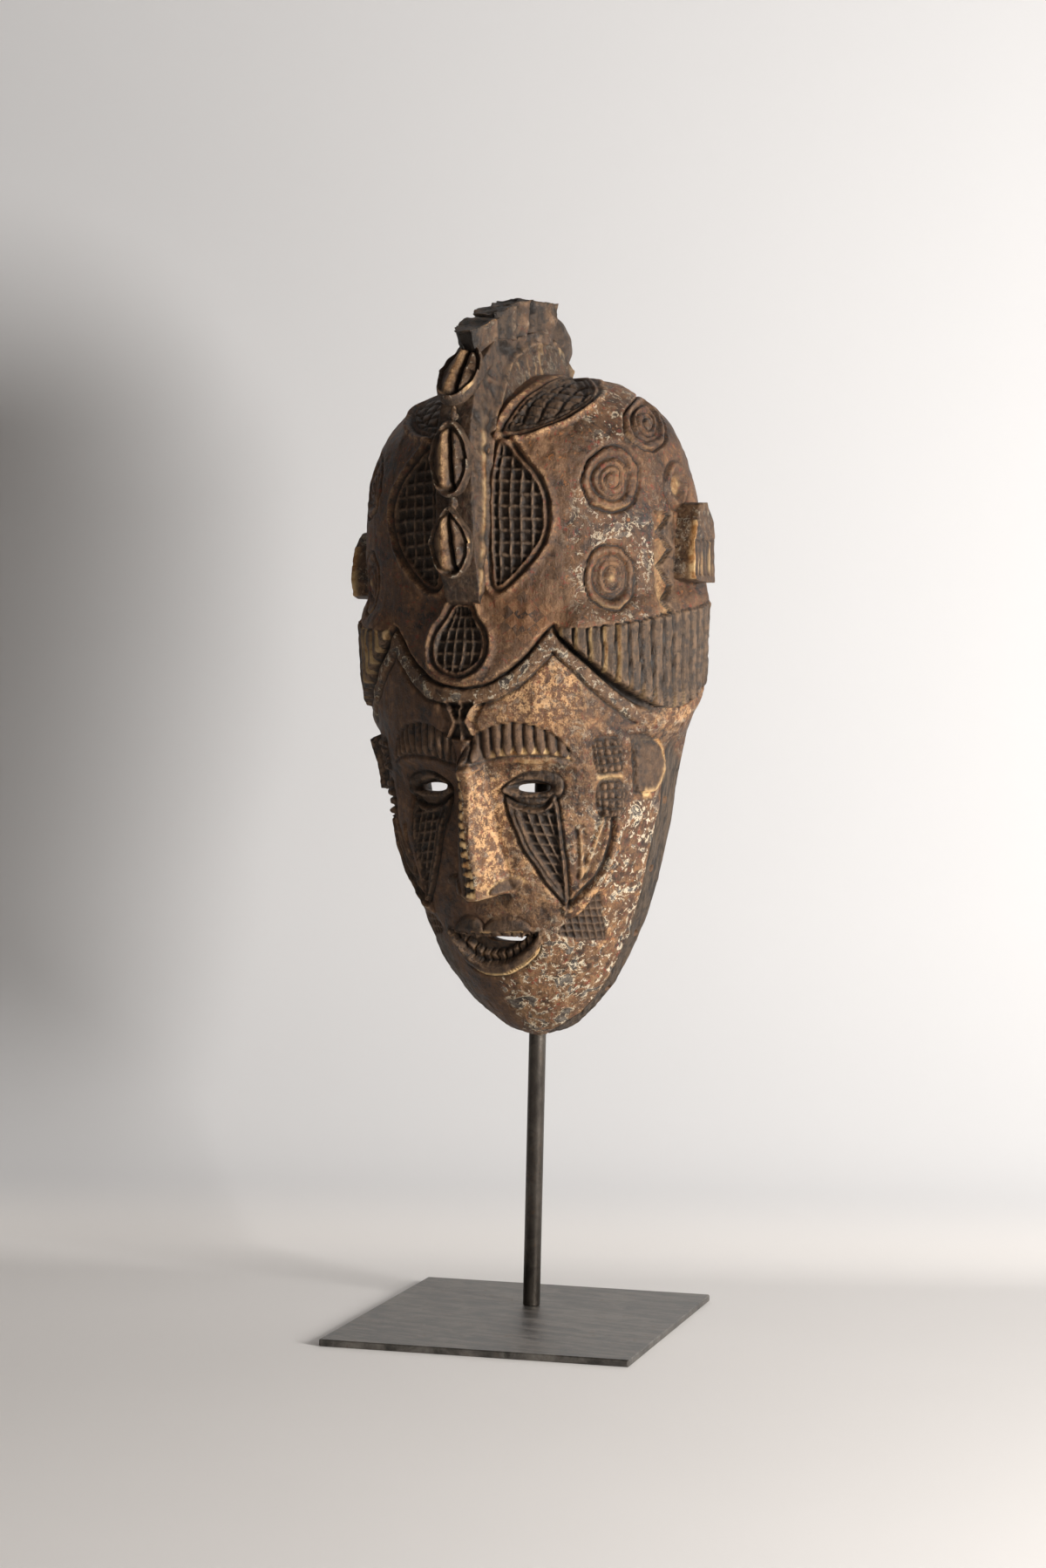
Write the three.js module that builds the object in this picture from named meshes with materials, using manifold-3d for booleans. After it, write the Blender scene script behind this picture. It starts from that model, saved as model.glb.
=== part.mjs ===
// Carved wooden spirit mask, worn over the face and the crown of the head, on its museum stand.
// Millimetres, +Z up. The origin is where the rod's axis meets the underside of the base plate,
// and the mask looks along -Y.
import * as THREE from 'three';
import { mergeVertices } from 'three/addons/utils/BufferGeometryUtils.js';
import Module from 'manifold-3d';

const wasm = await Module();
wasm.setup();

// Stand
const PLATE_WIDTH = 175;
const PLATE_DEPTH = 228;
const PLATE_THICK = 4;
const PLATE_CORNER = 1.5;
const PLATE_TURN = THREE.MathUtils.degToRad(14.13);
const ROD_FROM_PLATE_CENTRE = [-3.8, 37.1];
const ROD_DIAMETER = 10;
const ROD_SIDES = 24;
const GAP = 0.3;

// Mask as a whole
const CHIN_Z = 163;
const CROWN_Z = 546;
const WALL = 11;
const LEAN = THREE.MathUtils.degToRad(1.49);
const LEAN_HEIGHT = 457;
const LEAN_AXIS_ANGLE = THREE.MathUtils.degToRad(28);

// Bare form of the mask, station by station: height, half width, foremost point of the midline
const STATIONS = [
  [163, 0, -14],
  [168, 18, -29],
  [175, 28, -38],
  [190, 43, -51],
  [215, 59, -64],
  [247, 72, -77],
  [285, 82, -89],
  [320, 88, -94],
  [352, 94, -99],
  [400, 98, -100],
  [440, 100, -100],
  [472, 97, -101],
  [500, 90, -96],
  [520, 78, -84],
  [534, 60, -64],
  [542, 38, -44],
  [546, 0, -18],
];
const FACE_WIDEST_Y = -8;
const DOME_WIDEST_Y = -18;
const FACE_POWER = 2.3;
const BACK_DEPTH = 62;

// Back edge of the mask, seen from the side: behind the face, behind the hair band, over the crown
const CHIN_RIM_Y = -10.5;
const FACE_RIM_Y = -8;
const BAND_RIM_Y = 2;
const CROWN_RIM_Y = 34;
const BAND_LOW_Z = 348;
const BAND_HIGH_Z = 440;

// Hair band with its upright flutes, on each temple
const BAND_FLUTES = 15;
const BAND_PROUD = 7;
const BAND_GROOVE = 3;
const BAND_FROM = 54;
const BAND_TO = 168;

// Eyebrows, eyes, nose and mouth
const BROW_FLUTES = 11;
const BROW_IN = 6;
const BROW_OUT = 61;
const BROW_PROUD = 3.5;
const EYE_MIDDLE = 34;
const EYE_Z = 309;
const SLIT_LENGTH = 24;
const SLIT_HEIGHT = 6;
const NOSE_TOP_Z = 320;
const NOSE_TIP_Z = 251;
const MOUTH_HALF = 29;
const MOUTH_Z = 227;
const TEETH_Z = 219;
const MOUTH_SLIT = [44, 7];

// Lashing holes through the wall near the back edge, as distance along the skin and height
const RIM_HOLE = 4;
const RIM_HOLES = [[133, 344], [125, 301], [110, 262], [94, 224], [67, 192]];

// Ear lumps: front, back, bottom and top of the outer face, and how far out it stands
const RIGHT_EAR = { out: 111, front: -37, back: -9, low: 424, high: 469 };
const LEFT_EAR = { out: 112, front: -39, back: -9, low: 417, high: 457 };
const EAR_CHAMFER = 6;
const EAR_DEPTH = 26;
const EAR_GROOVES = 4;

// Raised edges on the skin: half width and height
const PANEL_EDGE = [3, 2.3];
const TEAR_EDGE = [2.6, 2.2];
const HAIRLINE_EDGE = [3.6, 2.6];

const easeBetween = (low, high, x) => THREE.MathUtils.smoothstep(x, low, high);
const bell = (x, middle, width) => Math.exp(-(((x - middle) / width) ** 2));

// Curve through the stations that never overshoots them
function stationCurve(column) {
  const x = STATIONS.map((row) => row[0]);
  const y = STATIONS.map((row) => row[column]);
  const last = x.length - 1;
  const slope = x.slice(1).map((value, i) => (y[i + 1] - y[i]) / (value - x[i]));
  const tangent = x.map((value, i) => {
    if (i === 0) return slope[0];
    if (i === last) return slope[last - 1];
    if (slope[i - 1] * slope[i] <= 0) return 0;
    const before = x[i] - x[i - 1];
    const after = x[i + 1] - x[i];
    const w1 = 2 * after + before;
    const w2 = after + 2 * before;
    return (w1 + w2) / (w1 / slope[i - 1] + w2 / slope[i]);
  });
  return (value) => {
    const v = THREE.MathUtils.clamp(value, x[0], x[last]);
    let i = 0;
    while (i < last - 1 && v > x[i + 1]) i += 1;
    const h = x[i + 1] - x[i];
    const t = (v - x[i]) / h;
    const rise = y[i + 1] - y[i];
    return y[i] + h * tangent[i] * t + (3 * rise - h * (2 * tangent[i] + tangent[i + 1])) * t * t
      + (h * (tangent[i] + tangent[i + 1]) - 2 * rise) * t * t * t;
  };
}

const halfWidthAt = stationCurve(1);
const frontAt = stationCurve(2);
const widestAt = (z) => THREE.MathUtils.lerp(FACE_WIDEST_Y, DOME_WIDEST_Y, easeBetween(400, 500, z));
const powerAt = (z) => FACE_POWER - 0.3 * easeBetween(480, 540, z) - 0.3 * (1 - easeBetween(165, 200, z));
const backAt = (z) => widestAt(z) + BACK_DEPTH * Math.sqrt(Math.max(0, halfWidthAt(z) / 100));

// A point of the bare form: turn is 0 at the midline of the face and grows towards +X
function barePoint(turn, z) {
  const s = Math.sin(turn);
  const c = Math.cos(turn);
  const power = 2 / powerAt(z);
  const widest = widestAt(z);
  const depth = c > 0 ? widest - frontAt(z) : backAt(z) - widest;
  return new THREE.Vector3(
    halfWidthAt(z) * Math.sign(s) * Math.abs(s) ** power,
    widest - depth * Math.sign(c) * Math.abs(c) ** power,
    z,
  );
}

function bareNormal(turn, z) {
  const step = 0.01;
  const across = barePoint(turn + step, z).sub(barePoint(turn - step, z));
  const low = Math.max(z - 0.5, CHIN_Z + 0.01);
  const high = Math.min(z + 0.5, CROWN_Z - 0.01);
  const up = barePoint(turn, high).sub(barePoint(turn, low));
  return across.cross(up).normalize();
}

// Distance along the skin from the midline, at one height, as a table of the turn
const TURN_STEPS = 180;
const girthTables = new Map();
function girthTable(z) {
  const key = Math.round(z * 4);
  if (!girthTables.has(key)) {
    const table = [0];
    let before = barePoint(0, z);
    for (let i = 1; i <= TURN_STEPS; i += 1) {
      const here = barePoint((i / TURN_STEPS) * Math.PI, z);
      table.push(table[i - 1] + here.distanceTo(before));
      before = here;
    }
    girthTables.set(key, table);
  }
  return girthTables.get(key);
}

function girthOf(turn, z) {
  const table = girthTable(z);
  const at = (Math.abs(turn) / Math.PI) * TURN_STEPS;
  const i = Math.min(Math.floor(at), TURN_STEPS - 1);
  return Math.sign(turn) * THREE.MathUtils.lerp(table[i], table[i + 1], at - i);
}

function turnOf(girth, z) {
  const table = girthTable(z);
  const want = Math.abs(girth);
  let i = 0;
  while (i < TURN_STEPS - 1 && table[i + 1] < want) i += 1;
  const t = THREE.MathUtils.clamp((want - table[i]) / (table[i + 1] - table[i] || 1), 0, 1);
  return Math.sign(girth) * ((i + t) / TURN_STEPS) * Math.PI;
}

// Soft modelling of the face: how far the skin stands out of the bare form
function modelling(girth, z) {
  const a = Math.abs(girth);
  let out = 7 * bell(a, 0, 46) * bell(z, 362, 34);
  out -= 7.5 * bell(a, EYE_MIDDLE, 23) * bell(z, EYE_Z - 1, 14);
  const down = THREE.MathUtils.clamp((NOSE_TOP_Z - z) / (NOSE_TOP_Z - NOSE_TIP_Z), 0, 1);
  const noseHalf = 9 + 9 * down ** 1.5;
  const overTip = easeBetween(NOSE_TIP_Z - 3, NOSE_TIP_Z + 1, z);
  const noseOn = overTip * (1 - easeBetween(NOSE_TOP_Z - 2, NOSE_TOP_Z + 16, z));
  out += noseOn * (12 + 5 * down) * Math.max(0, 1 - (a / noseHalf) ** 1.3);
  out += 5 * bell(a, 0, 32) * bell(z, 222, 24);
  out -= 8 * Math.sqrt(Math.max(0, 1 - (a / MOUTH_HALF) ** 2)) * bell(z, TEETH_Z, 8);
  return out;
}

function skinPoint(girth, z, lift = 0) {
  const turn = turnOf(girth, z);
  const normal = bareNormal(turn, z);
  return barePoint(turn, z).addScaledVector(normal, modelling(girth, z) + lift);
}

// Closed bodies from vertex lists
function bodyFromTriangles(points, triangles) {
  const geometry = new THREE.BufferGeometry();
  const numbers = points.flatMap((p) => [p.x, p.y, p.z]);
  geometry.setAttribute('position', new THREE.Float32BufferAttribute(numbers, 3));
  geometry.setIndex(triangles.flat());
  return geometry;
}

function solidOf(geometry) {
  const bare = geometry.clone();
  bare.deleteAttribute('normal');
  bare.deleteAttribute('uv');
  const merged = mergeVertices(bare, 1e-4);
  const mesh = new wasm.Mesh({
    numProp: 3,
    vertProperties: new Float32Array(merged.attributes.position.array),
    triVerts: new Uint32Array(merged.index.array),
  });
  mesh.merge();
  return new wasm.Manifold(mesh);
}

function geometryOf(solid) {
  const { vertProperties, triVerts } = solid.getMesh();
  const geometry = new THREE.BufferGeometry();
  geometry.setAttribute('position', new THREE.Float32BufferAttribute(vertProperties, 3));
  geometry.setIndex(new THREE.Uint32BufferAttribute(triVerts, 1));
  const faceted = geometry.toNonIndexed();
  faceted.computeVertexNormals();
  return faceted;
}

// A body from rings of equal length: each ring joined to the next, the two ends closed to a fan
function bodyFromRings(rings, closed = false) {
  const points = rings.flat();
  const count = rings[0].length;
  const triangles = [];
  const last = closed ? rings.length : rings.length - 1;
  for (let i = 0; i < last; i += 1) {
    const next = (i + 1) % rings.length;
    for (let j = 0; j < count; j += 1) {
      const k = (j + 1) % count;
      triangles.push([i * count + j, i * count + k, next * count + k]);
      triangles.push([i * count + j, next * count + k, next * count + j]);
    }
  }
  if (!closed) {
    for (let j = 1; j < count - 1; j += 1) {
      triangles.push([0, j + 1, j]);
      const base = last * count;
      triangles.push([base, base + j, base + j + 1]);
    }
  }
  return bodyFromTriangles(points, triangles);
}

function outward(geometry) {
  const position = geometry.attributes.position;
  const index = geometry.index.array;
  let volume = 0;
  const [a, b, c] = [new THREE.Vector3(), new THREE.Vector3(), new THREE.Vector3()];
  for (let i = 0; i < index.length; i += 3) {
    a.fromBufferAttribute(position, index[i]);
    b.fromBufferAttribute(position, index[i + 1]);
    c.fromBufferAttribute(position, index[i + 2]);
    volume += a.dot(b.cross(c));
  }
  if (volume < 0) {
    for (let i = 0; i < index.length; i += 3) [index[i], index[i + 1]] = [index[i + 1], index[i]];
  }
  return geometry;
}

const solidFromRings = (rings, closed) => solidOf(outward(bodyFromRings(rings, closed)));

// A body between two copies of one outline
function prismBetween(outline, oneSide, otherSide) {
  const flip = THREE.ShapeUtils.isClockWise(outline);
  const order = flip ? outline.map((_, i) => outline.length - 1 - i) : outline.map((_, i) => i);
  const faces = THREE.ShapeUtils.triangulateShape(order.map((i) => outline[i]), []);
  const count = order.length;
  const points = [...order.map((i) => oneSide[i]), ...order.map((i) => otherSide[i])];
  const triangles = faces.flatMap(([a, b, c]) => [[a, b, c], [a + count, c + count, b + count]]);
  for (let i = 0; i < count; i += 1) {
    const k = (i + 1) % count;
    triangles.push([i, i + count, k + count], [i, k + count, k]);
  }
  return solidOf(outward(bodyFromTriangles(points, triangles)));
}

// The egg-shaped bare form with the modelling of the face, or its hollow
function eggSolid(turns, heights, pointAt) {
  const rings = heights.map((z) => turns.map((turn) => pointAt(turn, z)));
  return solidFromRings(rings);
}

function evenSteps(from, to, count) {
  return Array.from({ length: count + 1 }, (_, i) => from + ((to - from) * i) / count);
}

function outerEgg() {
  const front = evenSteps(0, 0.64, 8);
  const side = evenSteps(0.64, 1.8, 7).slice(1);
  const back = evenSteps(1.8, Math.PI, 2).slice(1);
  const half = [...front, ...side, ...back];
  const turns = [...half.slice(1, -1).reverse().map((t) => -t), ...half];
  const heights = [
    CHIN_Z + 0.4, 166, 172, 182,
    ...evenSteps(196, 247, 6),
    252, 266, 284, 298, 308, 319,
    ...evenSteps(334, 430, 4),
    ...evenSteps(454, 520, 3),
    532, 540, CROWN_Z - 0.8,
  ];
  return eggSolid(turns, heights, (turn, z) => {
    const girth = girthOf(turn, z);
    const soft = Math.abs(turn) < 1.6 ? modelling(girth, z) : 0;
    return barePoint(turn, z).addScaledVector(bareNormal(turn, z), soft);
  });
}

function innerEgg() {
  const turns = evenSteps(-Math.PI, Math.PI, 18).slice(1);
  const low = CHIN_Z + WALL + 2;
  const high = CROWN_Z - WALL;
  const heights = [0, 0.03, 0.1, 0.22, 0.4, 0.6, 0.78, 0.88, 0.95, 0.985, 1];
  return eggSolid(turns, heights.map((t) => low + (high - low) * t), (turn, z) => {
    const share = THREE.MathUtils.clamp((z - low) / (high - low), 0.002, 0.998);
    const outerZ = CHIN_Z + (CROWN_Z - CHIN_Z) * share;
    const point = barePoint(turn, outerZ);
    const widest = widestAt(outerZ);
    const halfWidth = Math.max(halfWidthAt(outerZ), 1);
    const depth = Math.max(widest - frontAt(outerZ), 1);
    point.x *= Math.max(0.02, 1 - WALL / halfWidth);
    point.y = widest + (point.y - widest) * Math.max(0.02, 1 - WALL / depth);
    point.z = z;
    return point;
  });
}

// Everything behind the back edge, a slab whose front follows the edge seen from the side
function behindTheRim() {
  const farBack = 200;
  const slabWidth = 300;
  const outline = new THREE.Shape();
  outline.moveTo(CHIN_RIM_Y, CHIN_Z - 40);
  outline.lineTo(CHIN_RIM_Y, CHIN_Z + 20);
  outline.lineTo(FACE_RIM_Y, BAND_LOW_Z - 8);
  outline.quadraticCurveTo(FACE_RIM_Y, BAND_LOW_Z + 8, BAND_RIM_Y, BAND_LOW_Z + 16);
  outline.lineTo(BAND_RIM_Y, BAND_HIGH_Z - 20);
  outline.quadraticCurveTo(BAND_RIM_Y + 4, BAND_HIGH_Z + 40, CROWN_RIM_Y, CROWN_Z + 4);
  outline.lineTo(CROWN_RIM_Y, CROWN_Z + 80);
  outline.lineTo(farBack, CROWN_Z + 80);
  outline.lineTo(farBack, CHIN_Z - 40);
  outline.closePath();
  const slab = new THREE.ExtrudeGeometry(outline, { depth: slabWidth, bevelEnabled: false, curveSegments: 4 });
  slab.applyMatrix4(sideView(-slabWidth / 2));
  return solidOf(slab);
}

// Turns an outline drawn as [y, z] into the side view, its depth growing towards +X from the start given
function sideView(startX) {
  return new THREE.Matrix4().set(0, 0, 1, startX, 1, 0, 0, 0, 0, 1, 0, 0, 0, 0, 0, 1);
}

// A raised bar that follows the skin along a path of [girth, height] points, its ends drawn in
function barOnSkin(path, halfWidth, top, base = -2.5, closed = false, endShare = 1) {
  const stations = path.map((point, i) => {
    const share = endShare + (1 - endShare) * Math.sin((Math.PI * i) / (path.length - 1));
    const before = path[closed ? (i - 1 + path.length) % path.length : Math.max(i - 1, 0)];
    const after = path[closed ? (i + 1) % path.length : Math.min(i + 1, path.length - 1)];
    const along = skinPoint(...after).sub(skinPoint(...before)).normalize();
    const normal = bareNormal(turnOf(point[0], point[1]), point[1]);
    const side = along.clone().cross(normal).normalize();
    const middle = skinPoint(...point);
    const at = (across, lift) => middle.clone().addScaledVector(side, across).addScaledVector(normal, lift);
    return [at(-halfWidth * share, base), at(0, top * share), at(halfWidth * share, base)];
  });
  return solidFromRings(stations, closed);
}

// A plate on the skin between a lower and an upper edge, its outer face lifted by a function
function plateOnSkin(girths, lowerEdge, upperEdge, rows, liftAt, base = -3) {
  const rings = girths.map((girth, i) => {
    const outer = evenSteps(lowerEdge(girth), upperEdge(girth), rows)
      .map((z) => skinPoint(girth, z, liftAt(i, z)));
    const inner = evenSteps(upperEdge(girth), lowerEdge(girth), rows).map((z) => skinPoint(girth, z, base));
    return [...outer, ...inner];
  });
  return solidFromRings(rings);
}

// The same form on the other side of the face
function mirrored(solid) {
  return solid.mirror([1, 0, 0]);
}

const both = (solid) => [solid, mirrored(solid)];

function ovalPath(girth, z, across, up, count) {
  return Array.from({ length: count }, (_, i) => {
    const t = (i / count) * Math.PI * 2;
    return [girth + across * Math.cos(t), z + up * Math.sin(t)];
  });
}

// Points along a smooth line through a few [girth, height] corners
function smoothPath(corners, count) {
  const points = corners.map(([a, z]) => new THREE.Vector3(a, z, 0));
  const curve = new THREE.CatmullRomCurve3(points, false, 'centripetal');
  return curve.getPoints(count).map((p) => [p.x, p.y]);
}

// The fluted band of hair on the temples, wedge-shaped in front and cut off at the back edge
function hairBand() {
  const girths = evenSteps(BAND_FROM, BAND_TO, BAND_FLUTES * 2);
  const upper = smoothPath([[50, 396.5], [83, 400], [115, 406], [172, 415]], 24);
  const lower = smoothPath([[50, 395.5], [83, 370], [105, 357], [119, 354], [142, 359], [172, 378]], 32);
  const heightOn = (path) => (girth) => {
    const i = Math.max(1, path.findIndex(([a]) => a >= girth));
    const [a0, z0] = path[i - 1];
    const [a1, z1] = path[i];
    return z0 + ((z1 - z0) * (girth - a0)) / (a1 - a0);
  };
  return plateOnSkin(girths, heightOn(lower), heightOn(upper), 1, (i) => BAND_PROUD - (i % 2) * BAND_GROOVE);
}

// A fluted eyebrow, a crescent between two arcs
function eyebrow() {
  const girths = evenSteps(BROW_IN, BROW_OUT, BROW_FLUTES * 2);
  const share = (girth) => (girth - BROW_IN) / (BROW_OUT - BROW_IN);
  const lower = (girth) => 322 + 5.5 * Math.sin(Math.PI * share(girth));
  const upper = (girth) => lower(girth) + 0.8 + 17.5 * Math.sin(Math.PI * share(girth)) ** 0.8;
  return plateOnSkin(girths, lower, upper, 1, (i) => BROW_PROUD - (i % 2) * 2.2);
}

// An ear lump: a block on the side of the head, square to the midline
function earLump({ out, front, back, low, high }) {
  const outline = new THREE.Shape();
  outline.moveTo(front, low + EAR_CHAMFER);
  outline.lineTo(front, high - EAR_CHAMFER * 0.5);
  outline.quadraticCurveTo(front, high, front + EAR_CHAMFER, high);
  outline.lineTo(back, high - EAR_CHAMFER * 0.4);
  outline.lineTo(back, low + EAR_CHAMFER * 0.4);
  outline.lineTo(front + EAR_CHAMFER, low);
  outline.closePath();
  const block = new THREE.ExtrudeGeometry(outline, { depth: EAR_DEPTH, bevelEnabled: false, curveSegments: 3 });
  block.applyMatrix4(sideView(out - EAR_DEPTH));
  return solidOf(block);
}

// Upright grooves on the lower half of an ear lump's outer face
function earGrooves({ out, front, back, low, high }) {
  const pitch = (back - front - 3) / EAR_GROOVES;
  return Array.from({ length: EAR_GROOVES }, (_, i) => {
    const groove = new THREE.BoxGeometry(3, 1.8, (high - low) * 0.5);
    groove.translate(out, front + 3.5 + pitch * (i + 0.2), low + (high - low) * 0.24);
    return solidOf(groove);
  });
}

// The crest: a fin on the midline, seen from the side, thicker towards its root
function fin() {
  const profile = [
    [-96, 409, 8], [-104, 413, 11], [-107, 424, 12], [-112, 440, 12], [-114, 470, 12], [-114, 505, 11],
    [-108, 530, 11], [-98, 548, 11], [-84, 560, 11], [-60, 562, 10], [-34, 568, 10], [-10, 567, 10],
    [8, 548, 13], [2, 536, 14], [-30, 530, 16], [-62, 514, 17], [-84, 496, 17], [-93, 470, 17],
    [-93, 430, 15],
  ];
  const outline = profile.map(([y, z]) => new THREE.Vector2(y, z));
  const sides = [1, -1].map((side) => profile.map(([y, z, half]) => new THREE.Vector3(side * half, y, z)));
  return prismBetween(outline, ...sides);
}

// One lump of the comb: a block with its top edges drawn in, set across the fin
function combLump(frontY, backY, lowZ, highZ, half, tilt) {
  const block = new THREE.BoxGeometry(half * 2, backY - frontY, highZ - lowZ, 2, 1, 2);
  const position = block.attributes.position;
  for (let i = 0; i < position.count; i += 1) {
    const up = position.getZ(i) / (highZ - lowZ) + 0.5;
    const across = Math.abs(position.getX(i)) / half;
    position.setX(i, position.getX(i) * (0.72 + 0.28 * Math.sin(Math.PI * (0.15 + 0.6 * up))));
    position.setZ(i, position.getZ(i) - 4 * up * across);
  }
  block.rotateX(tilt);
  block.translate(0, (frontY + backY) / 2, (lowZ + highZ) / 2);
  return solidOf(block);
}

function comb() {
  return [
    combLump(-117, -83, 548, 574, 16, 0.62),
    combLump(-90, -63, 558, 582, 15, 0.36),
    combLump(-66, -44, 562, 587, 17, 0.16),
    combLump(-46, -19, 563, 588, 16, 0.02),
  ];
}

// The lobe behind the comb
function rearLobe() {
  const lobe = new THREE.SphereGeometry(1, 10, 6);
  lobe.scale(11, 21, 16);
  lobe.rotateX(-0.5);
  lobe.translate(0, 0, 565);
  return solidOf(lobe);
}

// A shell-like lens with a raised edge and a slit, set on the front of the fin
function shellLens(centreY, centreZ, halfWidth, halfLength, lean, point) {
  const ringCount = 10;
  const outlineAt = (scale, lift) => Array.from({ length: ringCount }, (_, i) => {
    const t = (i / ringCount) * Math.PI * 2;
    const up = Math.sin(t);
    const narrow = 1 - point * Math.max(0, up);
    return new THREE.Vector3(halfWidth * scale * Math.cos(t) * narrow, -lift, halfLength * scale * up);
  });
  const slit = outlineAt(0.2, 2).map((p) => new THREE.Vector3(p.x * 0.6, p.y, p.z * 2.6));
  const rings = [
    outlineAt(0.9, -9), outlineAt(1.05, 1.5), outlineAt(0.98, 4), outlineAt(0.84, 2.2),
    outlineAt(0.5, 5), slit,
  ];
  const lens = outward(bodyFromRings(rings));
  lens.rotateX(-lean);
  lens.translate(0, centreY, centreZ);
  return solidOf(lens);
}

function shells() {
  return [
    shellLens(-104, 538, 13, 22, 0.72, 0.2),
    shellLens(-116, 491.5, 12.5, 21.5, 0.02, 0.15),
    shellLens(-116, 445.5, 13, 20, -0.1, 0.5),
  ];
}

// Raised edges that frame the hatched fields of the dome and the face
function raisedEdges() {
  const almond = smoothPath([[18, 503], [33, 489], [47, 474], [51, 459], [46, 444], [33, 431], [20, 421]], 8);
  const leaf = smoothPath([[23, 507], [48, 513], [64, 524], [64, 535], [46, 541.5]], 5);
  const tearInner = smoothPath([[17, 305], [26, 281], [45, 244]], 3);
  const tearOuter = smoothPath([[54, 306], [52, 275], [46, 244]], 3);
  const swoosh = smoothPath([[47, 245], [62, 256], [76, 275], [82, 293]], 4);
  const parting = [[0, 365], [18, 369], [35, 382], [50, 400], [56, 393], [84, 367], [104, 354]];
  const hairline = smoothPath(parting, 9);
  const oneSide = [
    barOnSkin(almond, ...PANEL_EDGE),
    barOnSkin(leaf, ...PANEL_EDGE),
    barOnSkin(tearInner, ...TEAR_EDGE),
    barOnSkin(tearOuter, ...TEAR_EDGE),
    barOnSkin(swoosh, ...PANEL_EDGE),
    barOnSkin(hairline, ...HAIRLINE_EDGE),
  ];
  const pear = Array.from({ length: 12 }, (_, i) => {
    const t = (i / 12) * Math.PI * 2;
    return [(19 - 6 * Math.max(0, Math.sin(t))) * Math.cos(t), 392 + 21 * Math.sin(t)];
  });
  return [...oneSide.flatMap(both), barOnSkin(pear, ...PANEL_EDGE, -2.5, true)];
}

// The two lips of the open mouth
function lips() {
  const corners = (middleZ, shoulderZ) => [
    [-MOUTH_HALF, MOUTH_Z], [-MOUTH_HALF * 0.55, shoulderZ], [0, middleZ],
    [MOUTH_HALF * 0.55, shoulderZ], [MOUTH_HALF, MOUTH_Z],
  ];
  return [
    barOnSkin(smoothPath(corners(233, 235), 8), 7, 6, -5, false, 0.35),
    barOnSkin(smoothPath(corners(206, 210), 8), 7, 8, -5, false, 0.35),
  ];
}

// Carved rings on the dome, each round a small boss
function rings() {
  const places = [[85, 481, 17, 18], [84, 425.5, 15, 17.5], [105, 513, 15, 13]];
  return places.flatMap(([girth, z, across, up]) => both(wasm.Manifold.union([
    barOnSkin(ovalPath(girth, z, across, up, 11), 2.8, 2.2, -2, true),
    plateOnSkin(evenSteps(girth - 4, girth + 4, 2), () => z - 4, () => z + 4, 1, (i) => (i === 1 ? 3 : 1)),
  ])));
}

// Raised lumps beside the eyes and the D-shaped ears
function templeLumps() {
  const lump = (low, high) => plateOnSkin(evenSteps(73, 88, 2), () => low, () => high, 1, () => 2);
  const earFrom = 97;
  const earTo = 123;
  const round = (a) => 15 * Math.sqrt(Math.max(0.03, 1 - ((a - earFrom) / (earTo - earFrom)) ** 2));
  const [below, above] = [(a) => 322 - round(a), (a) => 322 + round(a)];
  const ear = plateOnSkin(evenSteps(earFrom, earTo, 4), below, above, 1, (i) => 8 - i);
  return [lump(317, 335), lump(293, 313), ear].flatMap(both);
}

// Cuts through the wall: eyes, mouth and the lashing holes of the back edge
function slitCutter(girth, z, length, height) {
  const cutter = new THREE.CylinderGeometry(1, 1, 60, 8);
  cutter.scale(length / 2, 1, height / 2);
  const turn = turnOf(girth, z);
  const normal = bareNormal(turn, z);
  const spot = barePoint(turn, z);
  cutter.rotateZ(Math.atan2(normal.x, -normal.y) * 0.5);
  cutter.translate(spot.x, spot.y, spot.z);
  return solidOf(cutter);
}

function rimHoleCutter(girth, z) {
  const cutter = new THREE.CylinderGeometry(RIM_HOLE / 2, RIM_HOLE / 2, 50, 4);
  const turn = turnOf(girth, z);
  const up = new THREE.Vector3(0, 1, 0);
  cutter.applyQuaternion(new THREE.Quaternion().setFromUnitVectors(up, bareNormal(turn, z)));
  const spot = barePoint(turn, z);
  cutter.translate(spot.x, spot.y, spot.z);
  return solidOf(cutter);
}

function openings() {
  return [
    ...both(slitCutter(EYE_MIDDLE, EYE_Z, SLIT_LENGTH, SLIT_HEIGHT)),
    slitCutter(0, TEETH_Z + 2, ...MOUTH_SLIT),
    ...RIM_HOLES.flatMap(([girth, z]) => both(rimHoleCutter(girth, z))),
  ];
}

// The band in front of the ear lump, sunk, with a zigzag edge
function zigzagChannel() {
  const teeth = 3;
  const low = 409;
  const high = 462;
  const path = evenSteps(low, high, teeth * 2);
  const left = path.map((z) => [114, z]);
  const right = path.map((z, i) => [i % 2 ? 116 : 126, z]);
  const ring = (lift) => [...left, ...right.slice().reverse()].map(([a, z]) => skinPoint(a, z, lift));
  const outline = [...left, ...right.slice().reverse()].map(([a, z]) => new THREE.Vector2(a, z));
  return both(prismBetween(outline, ring(6), ring(-3)));
}

// The whole carving, one block of wood
function maskSolid() {
  const skin = wasm.Manifold.union([
    outerEgg(),
    fin(), ...comb(), rearLobe(), ...shells(),
    ...both(hairBand()), ...both(eyebrow()),
    earLump(RIGHT_EAR), mirrored(earLump(LEFT_EAR)),
    ...raisedEdges(), ...lips(), ...rings(), ...templeLumps(),
  ]);
  const cuts = wasm.Manifold.union([
    innerEgg(), behindTheRim(), ...openings(), ...zigzagChannel(),
    ...earGrooves(RIGHT_EAR), ...earGrooves(LEFT_EAR).map(mirrored),
  ]);
  return skin.subtract(cuts);
}

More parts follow.
